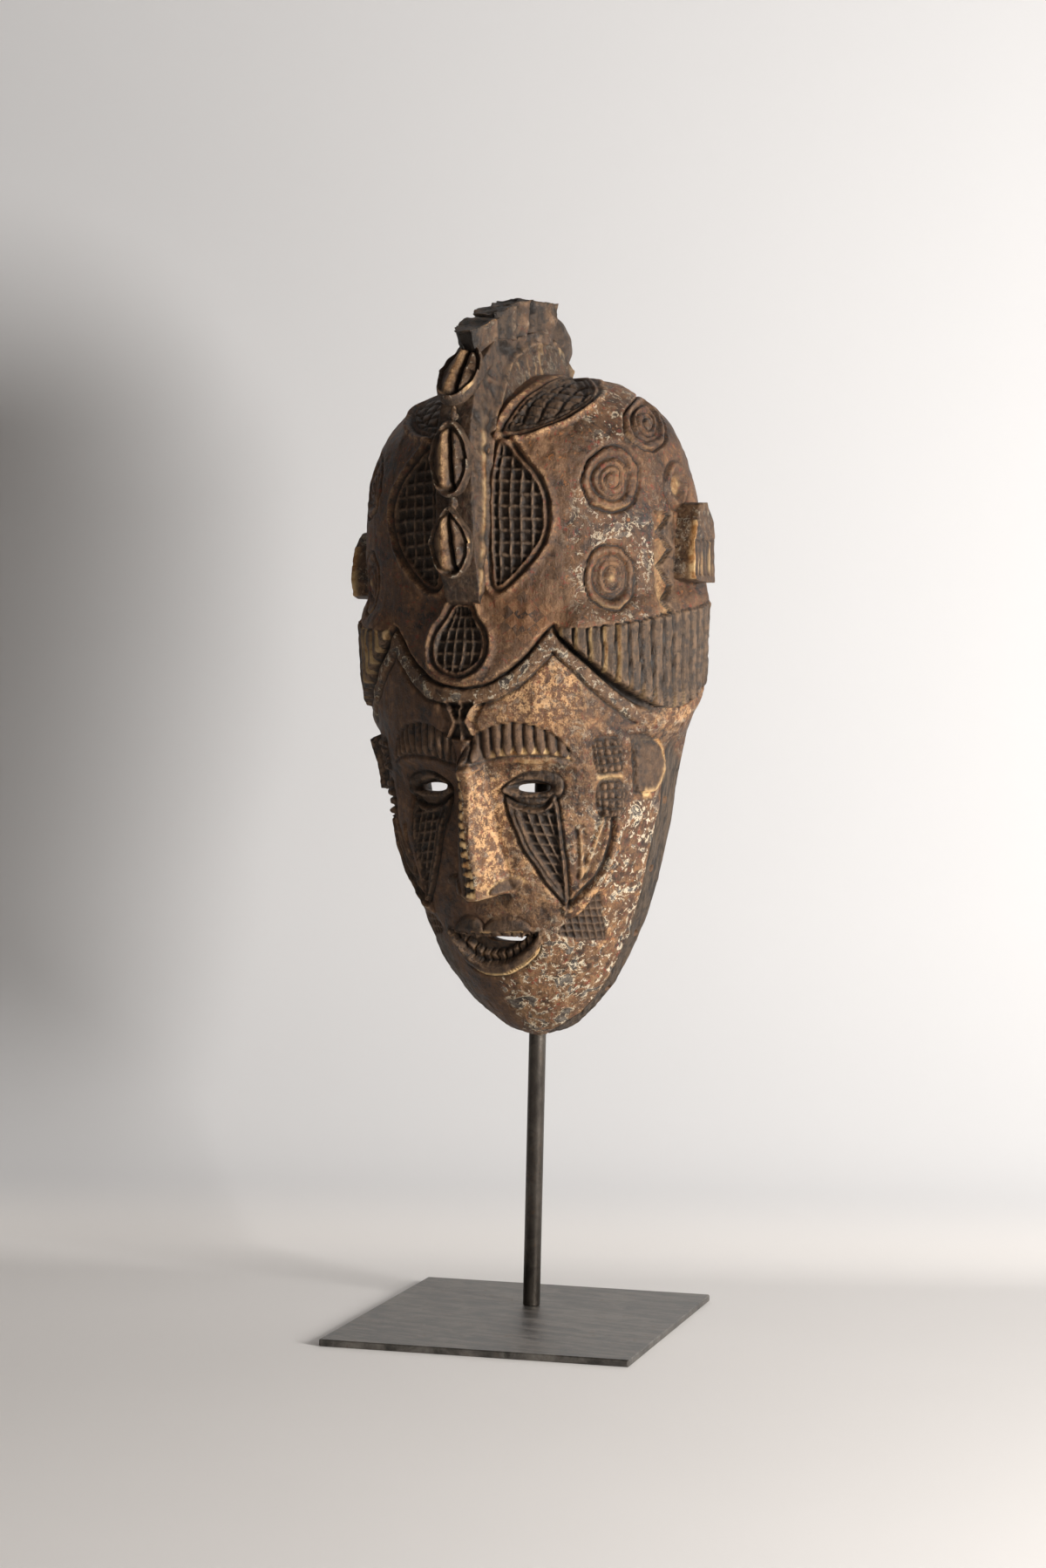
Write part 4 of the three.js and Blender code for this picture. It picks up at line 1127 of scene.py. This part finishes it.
def wood_material(name):
    material, w, place = new_material(name)
    layer = {key: w.put("Attribute", attribute_name=key).outputs["Fac"]
             for key in FINISHES + CELLS + ("hollow",)}
    wood = w.put("Group", {"Place": place}, node_tree=wood_grain).outputs
    paint = w.put("Group", {"Place": place}, node_tree=flaking).outputs
    grain, fine, grit = wood["Grain"], wood["Fine"], wood["Grit"]
    mix = w.plus(w.times(wood["Patch"], 0.55), w.times(fine, 0.45))
    rubbed_and_highlight_share = w.times(layer["rubbed"], w.ramp(mix, 0.38, 0.52, 0.2, 1.0))
    speckle = w.plus(w.times(grit, 0.5), w.times(w.noise(place, 190.0, 3.0, 0.55, 0.4), 0.5))
    pale = w.mixed(w.ramp(speckle, 0.46, 0.54), (0.16, 0.078, 0.036, 1), (0.6, 0.38, 0.2, 1))
    rubbed = w.mixed(w.ramp(fine, 0.42, 0.52), (0.13, 0.065, 0.034, 1), pale)
    tooled = w.mixed(w.ramp(grain, 0.36, 0.64), (0.02, 0.015, 0.011, 1), (0.1, 0.072, 0.05, 1))
    spots = w.noise(place, 330.0, 3.0, 0.6, 0.6)
    turned = w.stretched(place, (165.0, 28.0, 165.0), (0.0, 0.7, 0.0))
    squares = w.put("TexChecker", {"Vector": turned, "Scale": 1.0}).outputs["Fac"]
    dark_square = w.times(w.times(layer["check"], squares), w.ramp(fine, 0.45, 0.5))
    smoke = w.mixed(w.ramp(mix, 0.4, 0.62), (0.33, 0.27, 0.23, 1), (0.8, 0.73, 0.66, 1))
    held = w.ramp(layer["chalk"], 0.1, 0.75)
    under_paint = w.mixed(w.ramp(fine, 0.4, 0.6), (0.03, 0.026, 0.024, 1), (0.16, 0.158, 0.152, 1))
    soot_and_shade = w.mixed(w.ramp(fine, 0.38, 0.62), (0.01, 0.0065, 0.004, 1), (0.066, 0.042, 0.026, 1))
    soot_and_shade = w.mixed(w.ramp(grain, 0.56, 0.7), soot_and_shade, (0.095, 0.064, 0.042, 1))
    cream = w.mixed(w.ramp(mix, 0.4, 0.58), (0.36, 0.17, 0.05, 1), (0.74, 0.55, 0.3, 1))
    across, along_field = (w.calc("PINGPONG", layer[key], 0.5) for key in ("cell_across", "cell_along"))
    bar = w.calc("MAXIMUM", w.ramp(across, 0.06, 0.13, 1.0, 0.0), w.ramp(along_field, 0.07, 0.15, 0.8, 0.0))
    inside = w.ramp(layer["cell_inside"], -0.3, 0.4)
    pit = w.times(inside, w.calc("SUBTRACT", 1.0, bar))
    # edge: how proud a point stands; proud edges are lightened below, partly as wear and partly as a painted
    # highlight
    edge = w.ramp(w.times(layer["hollow"], -1.0), 0.2, 1.1)

    # Where each coat lies and its colour, from the bare wood up through the paint, smoke and stains, with
    # painted shade in the pits and recesses and a painted highlight on proud edges near the end
    color = w.mixed(w.ramp(mix, 0.38, 0.5), (0.026, 0.013, 0.007, 1), (0.13, 0.07, 0.036, 1))
    for share, coat, *blend in (
            (w.ramp(mix, 0.51, 0.6), (0.22, 0.128, 0.072, 1)),
            (w.times(w.ramp(grain, 0.5, 0.66), 0.4), (0.02, 0.013, 0.01, 1)),
            (rubbed_and_highlight_share, rubbed),
            (layer["tooled"], tooled),
            (w.times(layer["red"], w.ramp(spots, 0.6, 0.64)), (0.22, 0.045, 0.022, 1)),
            (w.times(layer["red"], w.ramp(spots, 0.37, 0.33)), (0.36, 0.15, 0.05, 1)),
            (w.times(layer["check"], 0.7), (0.26, 0.115, 0.045, 1)),
            (dark_square, (0.018, 0.012, 0.01, 1)),
            # darkening by smoke, and painted shade on the side away from the key light
            (layer["smoke"], smoke, "MULTIPLY"),
            (w.times(w.times(held, paint["Lost"]), 0.85), under_paint),
            (w.times(held, paint["Line"]), (0.68, 0.6, 0.47, 1)),
            (w.times(held, w.times(paint["Speck"], 0.9)), (0.62, 0.57, 0.48, 1)),
            # black paint, and painted shade where the carving puts it
            (layer["black"], soot_and_shade),
            (w.times(layer["raw"], w.ramp(fine, 0.3, 0.44, 0.5, 1.0)), cream),
            # painted shade in the pits between the lattice bars
            (w.times(pit, 0.5), (0.006, 0.005, 0.004, 1)),
            (w.times(w.times(inside, bar), w.ramp(fine, 0.38, 0.58, 0.1, 0.6)), (0.12, 0.085, 0.06, 1)),
            # painted shade in recesses, the deeper the darker, then wear and a painted highlight on proud
            # edges
            (w.ramp(layer["hollow"], 0.1, 1.5, 0.0, 0.85), (0.01, 0.007, 0.005, 1)),
            (w.times(edge, w.ramp(fine, 0.42, 0.56, 0.0, 0.5)), (0.26, 0.17, 0.11, 1)),
            (1.0, (1.04, 0.97, 0.86, 1), "MULTIPLY")):
        color = w.mixed(share, color, coat, *blend)
    crust = w.plus(w.times(paint["Lost"], w.times(layer["chalk"], -0.35)), w.times(fine, 0.8))
    crust = w.plus(crust, w.plus(w.times(grit, 0.35), w.times(grain, 0.3)))
    w.shade(color, w.ramp(mix, 0.3, 0.7, 0.45, 0.75), crust, 0.0015, 0.85)
    return material


wood = wood_material("aged wood")
set_material(shell, wood)


def split_off(piece, name, wanted):
    """Part the faces whose mean of the attribute "part" is wanted from a piece."""
    mesh = piece.data
    values = read(mesh.attributes["part"].data, "value")
    corners = read(mesh.loops, "vertex_index", kind=int)
    starts = read(mesh.polygons, "loop_start", kind=int)
    means = np.add.reduceat(values[corners], starts) / np.diff(np.append(starts, len(corners)))
    only(piece)
    bpy.ops.object.mode_set(mode="EDIT")
    bpy.ops.mesh.select_mode(type="FACE")
    bpy.ops.object.mode_set(mode="OBJECT")
    mesh.polygons.foreach_set("select", wanted(means))
    bpy.ops.object.mode_set(mode="EDIT")
    bpy.ops.mesh.separate(type="SELECTED")
    bpy.ops.object.mode_set(mode="OBJECT")
    made = [o for o in bpy.context.selected_objects if o != piece][0]
    made.name = name
    return made


inside = split_off(shell, "mask_inside", lambda value: value > 20)
dome = split_off(shell, "mask_dome", lambda value: value > 0)
for piece, name in ((shell, "mask_face"), (dome, "mask_dome"), (inside, "mask_inside")):
    keep(piece, name, "mask", "mask")

# Crest
# The crest stands on the midline of the dome, part of the same block: a fin that thins towards its top,
# a comb of four lumps across it, a round lobe behind them and three shell-like lenses down its front.

VOXEL = 0.8 * MM
# Depth, height and half width along the fin's outline
FIN_PROFILE = [
    (-96, 409, 8), (-104, 413, 11), (-107, 424, 12), (-112, 440, 12), (-114, 470, 12), (-114, 505, 11),
    (-108, 530, 11), (-98, 548, 11), (-84, 560, 11), (-60, 562, 10), (-34, 568, 10), (-10, 567, 10),
    (8, 548, 13), (2, 536, 14), (-30, 530, 16), (-62, 514, 17), (-84, 496, 17), (-93, 470, 17),
    (-93, 430, 15)]
FIN_ROOT = np.array([(-93, 430), (-93, 470), (-84, 496), (-62, 514), (-30, 530)], float)
FIN_RIDGE = smooth_line([(-97, 430), (-99, 470), (-95.6, 502), (-89.5, 517), (-80.4, 527), (-65, 548),
                         (-51, 555), (-36, 561), (-12, 563)], 40)


def rough(x, y, z, size, seed):
    return (cloud(x + y * 0.7, z, size, seed) + cloud(y - x * 0.6, z + x * 0.5, size, seed + 50)) / 2


def remeshed(piece, voxel=VOXEL):
    apply_modifier(piece, "REMESH", mode="VOXEL", voxel_size=voxel)
    apply_modifier(piece, "SMOOTH", iterations=2, factor=0.5)


def finish_wood(piece, name, finish, hollow):
    count = len(piece.data.vertices)
    for key in FINISHES:
        store(piece, key, np.clip(finish.get(key, 0) + np.zeros(count), 0, 1))
    store(piece, "cell_inside", np.full(count, NO_CELLS))
    store(piece, "hollow", hollow)
    piece.data.transform(lean_matrix())
    only(piece)
    bpy.ops.object.shade_smooth()
    set_material(piece, wood)
    keep(piece, name, "mask", "mask")


def carved(piece, name, relief):
    """Push the skin of a piece by relief(x, y, z, normal) in millimetres and lay its finishes on it."""
    vertices = piece.data.vertices
    co, normals = read(vertices, "co", 3) / MM, read(vertices, "normal", 3)
    height, finish = relief(*co.T, normals)
    moved = co + normals * (height + 0.25 * rough(*co.T, 4.5, 90) + 0.15 * rough(*co.T, 2.2, 91))[:, None]
    vertices.foreach_set("co", (moved * MM).astype(np.float32).ravel())
    piece.data.update()
    # The sunk relief is kept as hollow, which the material paints as shade; raised relief gets a painted
    # highlight
    finish_wood(piece, name, finish, -height)


def fin_relief(x, y, z, n):
    side = ease(0.5, 0.85, np.abs(n[:, 0]))
    ridge = distance_to(y, z, FIN_RIDGE)
    behind = y > np.interp(z, FIN_RIDGE[:, 1], FIN_RIDGE[:, 0])
    root = distance_to(y, z, FIN_ROOT)
    frontal = ease(0, 2, ridge) * (~behind)
    worn = 0.9 * frontal * rough(x, y, z, 6, 33) ** 2 * 3
    height = side * (0.9 * bell(ridge, 0, 1.3) - worn - 0.7 * bell(ridge, 3.2, 1.2))
    height -= 2.6 * side * bell(y, -96, 2.2) * bell(z, 542, 9)
    hollow = side * bell(y, -71, 8) * bell(z, 556, 3)
    height -= 3.2 * hollow
    stripe = side * bell(y, -104 + 0.02 * (z - 460), 1.7) * (1 - ease(500, 520, z))
    edge = side * bell(root, 1.5, 2.2)
    flecks = side * behind * ease(498, 516, z)
    height += 0.45 * side * rough(x, y, z, 2.6, 38)
    bare = 0.45 * edge + 0.45 * stripe + 0.2 * frontal * side * rough(x, y, z, 7, 34)
    # The left side is darkened as painted shade
    return height, {
        "black": 0.8 - bare + 0.6 * hollow, "red": 0.7 + 0.3 * edge + 0.5 * flecks,
        "raw": 0.35 * stripe + 0.25 * flecks * ease(0.35, 0.6, cloud(y * 2.2, z * 0.45, 6, 37)),
        "chalk": 0.25 + 0.4 * flecks, "rubbed": 0.5 * edge + 0.5 * bell(ridge, 0, 1.2) * side,
        "smoke": 0.4 * (1 - side) + 0.5 * (x < 0)}


sides = [[(side * half, y, z) for y, z, half in FIN_PROFILE] for side in (1, -1)]
corners = len(FIN_PROFILE)
polys = [tuple(range(corners)), tuple(range(2 * corners - 1, corners - 1, -1))]
polys += [(i, i + corners, (i + 1) % corners + corners, (i + 1) % corners) for i in range(corners)]
fin = mesh_piece("crest_fin", np.array(sides[0] + sides[1], float) * MM, polys)
in_edit(fin, face_outwards)
remeshed(fin)
carved(fin, "crest_fin", fin_relief)

# Each lump of the comb seen from the side: top front, top back, low back, low front as (y, z); then half its
# width at the front and at the back, and how worn pale its face is
COMB = [
    ((-104, 563), (-80, 573), (-76, 555), (-95, 546), 5.5, 12.4, 0.22),
    ((-79, 575), (-59.5, 581), (-57.5, 561), (-76, 559), 7, 14, 0.1),
    ((-58, 581), (-40, 586.5), (-44, 562), (-56, 561), 7, 12.6, 0.32),
    ((-38.5, 586.5), (-12.5, 586), (-18.5, 561), (-42.5, 562), 8, 14, 0.14)]


def comb_shape(co, tf, tb, lb, lf, thin, wide):
    across, back, up = co[:, 0], np.clip((co[:, 1] + 1) / 2, 0, 1), np.clip((co[:, 2] + 1) / 2, 0, 1)
    low_line = np.outer(1 - back, lf) + np.outer(back, lb)
    high_line = np.outer(1 - back, tf) + np.outer(back, tb)
    y, z = (low_line * (1 - up)[:, None] + high_line * up[:, None]).T
    half = (thin + (wide - thin) * back ** 0.8) * (0.88 + 0.12 * up)
    dish = 1.8 * up ** 4 * (1 - across ** 2) * np.sin(math.pi * back)
    nick = 1.2 * ease(0.8, 1.0, up) * rough(across * 14, y, z, 6, 40)
    return np.stack([across * half, y, z - dish + nick], 1)


def lump_relief(x, y, z, n, front, back, pale, sharp_back):
    front, back = (np.interp(z, *zip(*sorted((high, deep) for deep, high in line))) for line in (front, back))
    share = (y - front) / (back - front)
    # end marks where a lump meets the next: it is notched, and darkened below as painted shade in the joint
    end = np.clip(bell(share, 0, 0.13) + bell(share, 1.0, 0.12) * sharp_back, 0, 1)
    forward = ease(0.25, 0.6, -n[:, 1])
    top = ease(0.35, 0.75, n[:, 2])
    face = ease(0.35, 0.75, n[:, 0])
    height = top * 1.1 * rough(x, y, z, 5, 41) + (1 - top) * (1.5 * rough(x, y, z, 6, 43) - 2.6 * end)
    height += 0.5 * rough(x, y, z, 2.6, 44)
    chips = bell(n[:, 2], 0.42, 0.16) * ease(0.15, 0.4, cloud(y, z, 5, 45)) * (x > 0) * (y < -76)
    worn = pale * face * (1 - forward) * ease(0.05, 0.4, share)
    dark_patch = ease(-0.1, 0.3, cloud(x + y, z, 5, 46))
    # Painted shade: black at the lump ends, in the joints, and a darker left side
    return height, {
        "black": 0.9 + 0.3 * dark_patch - worn + 0.9 * end - 0.3 * bell(share, 0.74, 0.08) * face,
        "raw": 0.9 * chips, "chalk": 0.1 + 0.25 * face, "red": 0.5 * face, "rubbed": 0.5 * chips,
        "smoke": 0.3 * (x < 0)}


for number, (top_front, top_back, low_back, low_front, *halves, pale) in enumerate(COMB, 1):
    lump = solid("cube", size=2 * MM)
    in_edit(lump, cut_up(9))
    reshaped(lump, lambda co: comb_shape(co, top_front, top_back, low_back, low_front, *halves))
    remeshed(lump, 0.75 * MM)
    ends = (low_front, top_front), (low_back, top_back), pale, number < len(COMB)
    carved(lump, f"comb_lump_{number}", lambda x, y, z, n: lump_relief(x, y, z, n, *ends))

LOBE_SIZE = (12, 21, 17)
LOBE_HEIGHT = 563.5
LOBE_TILT = -0.5


def turned(y, z, angle):
    c, s = math.cos(angle), math.sin(angle)
    return y * c - z * s, y * s + z * c


def lobe_shape(co):
    x, y, z = (co * LOBE_SIZE).T
    y, z = turned(y, z, LOBE_TILT)
    return np.stack([x, y - 1, z + LOBE_HEIGHT], 1)


lobe = solid("uv_sphere", segments=48, ring_count=24, radius=MM)
reshaped(lobe, lobe_shape)
remeshed(lobe)
carved(lobe, "crest_lobe", lambda x, y, z, n: (0.8 * rough(x, y, z, 6, 47), {"black": 0.86, "chalk": 0.15}))

# Two small pale knots sit between the shells: one above the second shell and one below it
KNOT_SIZE = (2.7, 2.6, 5.0)
KNOT_FINISH = {"black": 0.66, "chalk": 0.9, "rubbed": 0.3}
for number, (knot_y, knot_z) in enumerate([(-115.8, 516), (-115.5, 468.5)], 1):
    knot = solid("uv_sphere", segments=24, ring_count=16, radius=MM)
    reshaped(knot, lambda co: co * KNOT_SIZE + (0.6, knot_y, knot_z))
    carved(knot, f"crest_knot_{number}", lambda x, y, z, n: (1.3 * rough(x, y, z, 2.4, 49), KNOT_FINISH))


def lens_marks(co):
    """Place on a shell's ball, distance from its middle seen from the front, and 1 away from its ends."""
    x, y, z = co.T
    r = np.hypot(x, z * 0.98)
    return x, y, z, r, 1 - ease(0.62, 0.86, np.abs(z))


def lens_shape(co, y0, z0, half_wide, half_long, tilt, point):
    x, y, z, r, ends = lens_marks(co / np.linalg.norm(co, axis=1, keepdims=True))
    body = np.where(y < 0, -(1.2 + 3.6 * np.clip(-y, 0, 1) ** 0.6), 8 * y)
    rim = (1.7 + 0.7 * cloud(x * 9, z * 9, 3, 80)) * bell(r, 0.92, 0.07)
    moat = (0.9 + 1.2 * (x > 0)) * bell(r, 0.79, 0.07)
    lips = (2.7 * bell(x, -0.24, 0.24) + 1.3 * bell(x, 0.42, 0.15)) * ends
    slit = 4.6 * bell(x, 0.14 - 0.12 * z, 0.085) * ends
    depth = body + np.where(y < 0, moat + slit - rim - lips, 0) + 0.55 * cloud(x * 12, z * 18, 3.4, 81)
    narrow = 1 - point * np.clip(z, 0, 1) ** 1.3
    broad = half_wide * narrow * (1 + 0.05 * cloud(z * 18, y * 9, 4, 82))
    back, up = turned(depth, z * half_long, -tilt)
    return np.stack([x * broad, back + y0, up + z0], 1)


def lens_finish(co, chips_at, seed):
    x, y, z, r, ends = lens_marks(co / np.linalg.norm(co, axis=1, keepdims=True))
    rim, moat = bell(r, 0.92, 0.08) * (y < -0.1), bell(r, 0.79, 0.07) * (y < 0)
    facing = (y < 0) * ends
    slit = bell(x, 0.14 - 0.12 * z, 0.1) * facing
    left_lip, right_lip = bell(x, -0.24, 0.22) * facing, bell(x, 0.42, 0.15) * facing
    chip = 0 * x
    if chips_at is not None:
        chip = rim * (x > 0.3) * (z < 0.15) * bell(np.arctan2(z, x), chips_at, 0.2)
        chip = chip * ease(-0.2, 0.2, cloud(x * 9, z * 9, 2.4, seed))
    dark = 0.72 + 0.3 * moat + 0.4 * slit - 0.2 * rim + 0.2 * (y > -0.25)
    finish = {"black": dark - 0.75 * left_lip - 0.2 * right_lip - 0.7 * chip,
              "rubbed": 0.8 * left_lip + 0.3 * right_lip, "raw": 0.95 * chip + 0.2 * left_lip,
              "chalk": 0.7 * rim + 0.6 * right_lip, "red": 0.3 + 0.4 * slit}
    # The second value feeds the painted shade of the moat and slit and the painted highlight of the left lip
    return finish, 0.6 * moat + 1.8 * slit - 0.15 * rim - 0.6 * left_lip


# Centre (y, z), half width, half length, tilt back and narrowing of the top of each shell, and where on its
# rim the paint is chipped
SHELLS = [((-104, 538, 13, 22, 0.72, 0.25), -0.6), ((-116, 491.5, 12.5, 21.5, 0.02, 0.2), None),
          ((-116, 445.5, 13, 20, -0.1, 0.55), -0.1)]
for number, (measures, chips_at) in enumerate(SHELLS, 1):
    lens = solid("uv_sphere", segments=96, ring_count=64, radius=MM)
    in_edit(lens, cut_up(1))
    finish, hollow = lens_finish(read(lens.data.vertices, "co", 3), chips_at, 70 + number)
    reshaped(lens, lambda co: lens_shape(co, *measures))
    finish_wood(lens, f"crest_shell_{number}", finish, hollow)

# Ear blocks
# A square lump stands out on each side of the dome, part of the same block of wood. Its lower half is
# cut with upright grooves, and its front corner is chipped down to bare wood.

EAR_DEPTH = 26


def ear_shape(co, side, out, f, b, low, high):
    u, v, w = co.T
    x = side * (out - 0.4 - EAR_DEPTH * (1 - u) / 2)
    y = (f + b) / 2 + v * (b - f) / 2
    z = (low + high) / 2 + w * (high - low) / 2
    shoulder = ease(0.3, 1.0, w) * ease(0.3, 1.0, -v)
    heel = ease(0.3, 1.0, -w) * ease(0.3, 1.0, -v)
    lean_back = 9.0 * (0.5 + w / 2) ** 2 * (1 - v) / 2
    round_top = 4.0 * ease(0.4, 1.0, w) * ease(0.2, 1.0, u) * ease(0.0, 1.0, v)
    return np.stack([x - side * (1.5 * shoulder + round_top), y + 2.0 * shoulder + 3.0 * heel + lean_back,
                     z - 1.5 * shoulder + 2.0 * heel - round_top], 1)


def ear_relief(x, y, z, n, side, out, f, b, low, high):
    face = ease(0.5, 0.85, side * n[:, 0])
    half_up = (low + high) / 2 + 1
    lower = face * (1 - ease(half_up - 1, half_up, z)) * ease(low + 3, low + 5, z)
    grooves = bars(y - f - 3.5, (b - f - 3) / 5, 0.9) * lower
    step = bell(z, half_up, 0.8) * face
    dabs = face * (z > half_up) * bell(((y - f) / 5.5) % 1, 0.5, 0.22) * bell(((z - low) / 6) % 1, 0.5, 0.25)
    corner = bell(x * side, out - 1.8, 2.4) * ease(0.25, 0.6, -n[:, 1]) * (y < f + 6)
    frontal = ease(0.6, 0.9, -n[:, 1]) * (1 - corner)
    streaked = 0.35 * lower * (1 - grooves) * ease(0.0, 0.4, cloud(y * 2, z * 0.3, 5, 64))
    # The left block is darkened as painted shade
    return -2.0 * grooves - 1.0 * step + 0.5 * rough(x, y, z, 6, 61), {
        "black": 0.62 + 0.2 * grooves - 0.6 * corner - 0.15 * frontal, "raw": 0.95 * corner + streaked,
        "chalk": 0.2 + 0.7 * dabs + 0.25 * frontal, "rubbed": 0.3 * frontal, "smoke": 0.5 * (side < 0)}


# Side, reach, front and back, low and high
for name, measures in (("ear_block_right", (1, 111, -37, -9, 424, 469)),
                       ("ear_block_left", (-1, 112, -39, -9, 417, 457))):
    block = solid("cube", size=2 * MM)
    in_edit(block, cut_up(3))
    reshaped(block, lambda co: ear_shape(co, *measures))
    in_edit(block, face_outwards)
    remeshed(block)
    carved(block, name, lambda x, y, z, n: ear_relief(x, y, z, n, *measures))

# Studio
# A pale floor turns up into a pale wall close behind the object. One large soft light stands to the
# right and in front, and the room fills the shadows a little.

HEADING = math.radians(28)
PITCH = math.radians(-1.6075)
ROLL = math.radians(1.306)
CAMERA_AT = (1.0019, -1.9095, 0.3690)
FOCAL_PIXELS = 4250
IMAGE_HEIGHT = 1798
ahead = Vector((-math.sin(HEADING), math.cos(HEADING), 0))
right = Vector((math.cos(HEADING), math.sin(HEADING), 0))


def add_object(name, data, matrix):
    made = bpy.data.objects.new(name, data)
    bpy.context.scene.collection.objects.link(made)
    made.matrix_world = matrix
    return made


camera_data = bpy.data.cameras.new("camera")
camera_data.sensor_fit = "VERTICAL"
camera_data.sensor_height = 36
camera_data.lens = FOCAL_PIXELS / IMAGE_HEIGHT * camera_data.sensor_height
aim = (Matrix.Translation(CAMERA_AT) @ Matrix.Rotation(HEADING, 4, "Z")
       @ Matrix.Rotation(math.radians(90) + PITCH, 4, "X") @ Matrix.Rotation(ROLL, 4, "Z"))
camera = add_object("camera", camera_data, aim)
bpy.context.scene.camera = camera
bpy.context.scene.view_settings.view_transform = "Standard"

WALL_BEHIND = 0.31
BEND = 0.04
FLOOR_SIZE = 8
FLOOR_IN_FRONT = 5
floor = solid("plane", size=1)
in_edit(floor, cut_up(60))
co = read(floor.data.vertices, "co", 3)
walk = (co[:, 1] + 0.5) * FLOOR_SIZE - FLOOR_IN_FRONT
flat_end = WALL_BEHIND - BEND
bent = np.clip((walk - flat_end) / BEND, 0, math.pi / 2)
forward = np.minimum(walk, flat_end) + BEND * np.sin(bent)
rise = BEND * (1 - np.cos(bent)) + np.maximum(walk - flat_end - BEND * math.pi / 2, 0)
placed = np.outer(forward, ahead) + np.outer(co[:, 0] * FLOOR_SIZE, right) + np.outer(rise, (0, 0, 1))
floor.data.vertices.foreach_set("co", placed.astype(np.float32).ravel())
floor.name = "studio_floor"
bpy.ops.object.shade_smooth()
paper, w, place = new_material("pale paper")
sheet = w.mixed(w.noise(place, 3.0, 3.0), (0.8, 0.785, 0.77, 1), (0.85, 0.835, 0.82, 1))
height_up = w.put("SeparateXYZ", {0: place}).outputs[2]
sheet = w.mixed(w.ramp(height_up, 0.0, 0.04), sheet, (0.65, 0.655, 0.665, 1))
shader = w.tree.nodes["Principled BSDF"]
w.tree.links.new(sheet, shader.inputs["Base Color"])
shader.inputs["Roughness"].default_value = 0.8
seen_behind = w.put("NewGeometry").outputs["Backfacing"]
clear = w.put("BsdfTransparent").outputs[0]
choice = w.put("MixShader", {0: seen_behind, 1: shader.outputs[0], 2: clear}).outputs[0]
w.tree.links.new(choice, w.tree.nodes["Material Output"].inputs["Surface"])
set_material(floor, paper)

TARGET = Vector((0, 0, 0.33))
key_at = -ahead * 1.18 + right * 1.21 + Vector((0, 0, 0.5))
lamp = bpy.data.lights.new("key", "AREA")
lamp.shape = "DISK"
lamp.size = 0.58
lamp.energy = 41
lamp.color = (1, 0.965, 0.93)
facing = (key_at - TARGET).to_track_quat("Z", "Y").to_matrix().to_4x4()
add_object("key", lamp, Matrix.Translation(key_at) @ facing)
world = bpy.data.worlds.new("room")
world.use_nodes = True
background = world.node_tree.nodes["Background"]
background.inputs["Color"].default_value = (1.0, 0.9, 0.82, 1)
background.inputs["Strength"].default_value = 0.13
bpy.context.scene.world = world
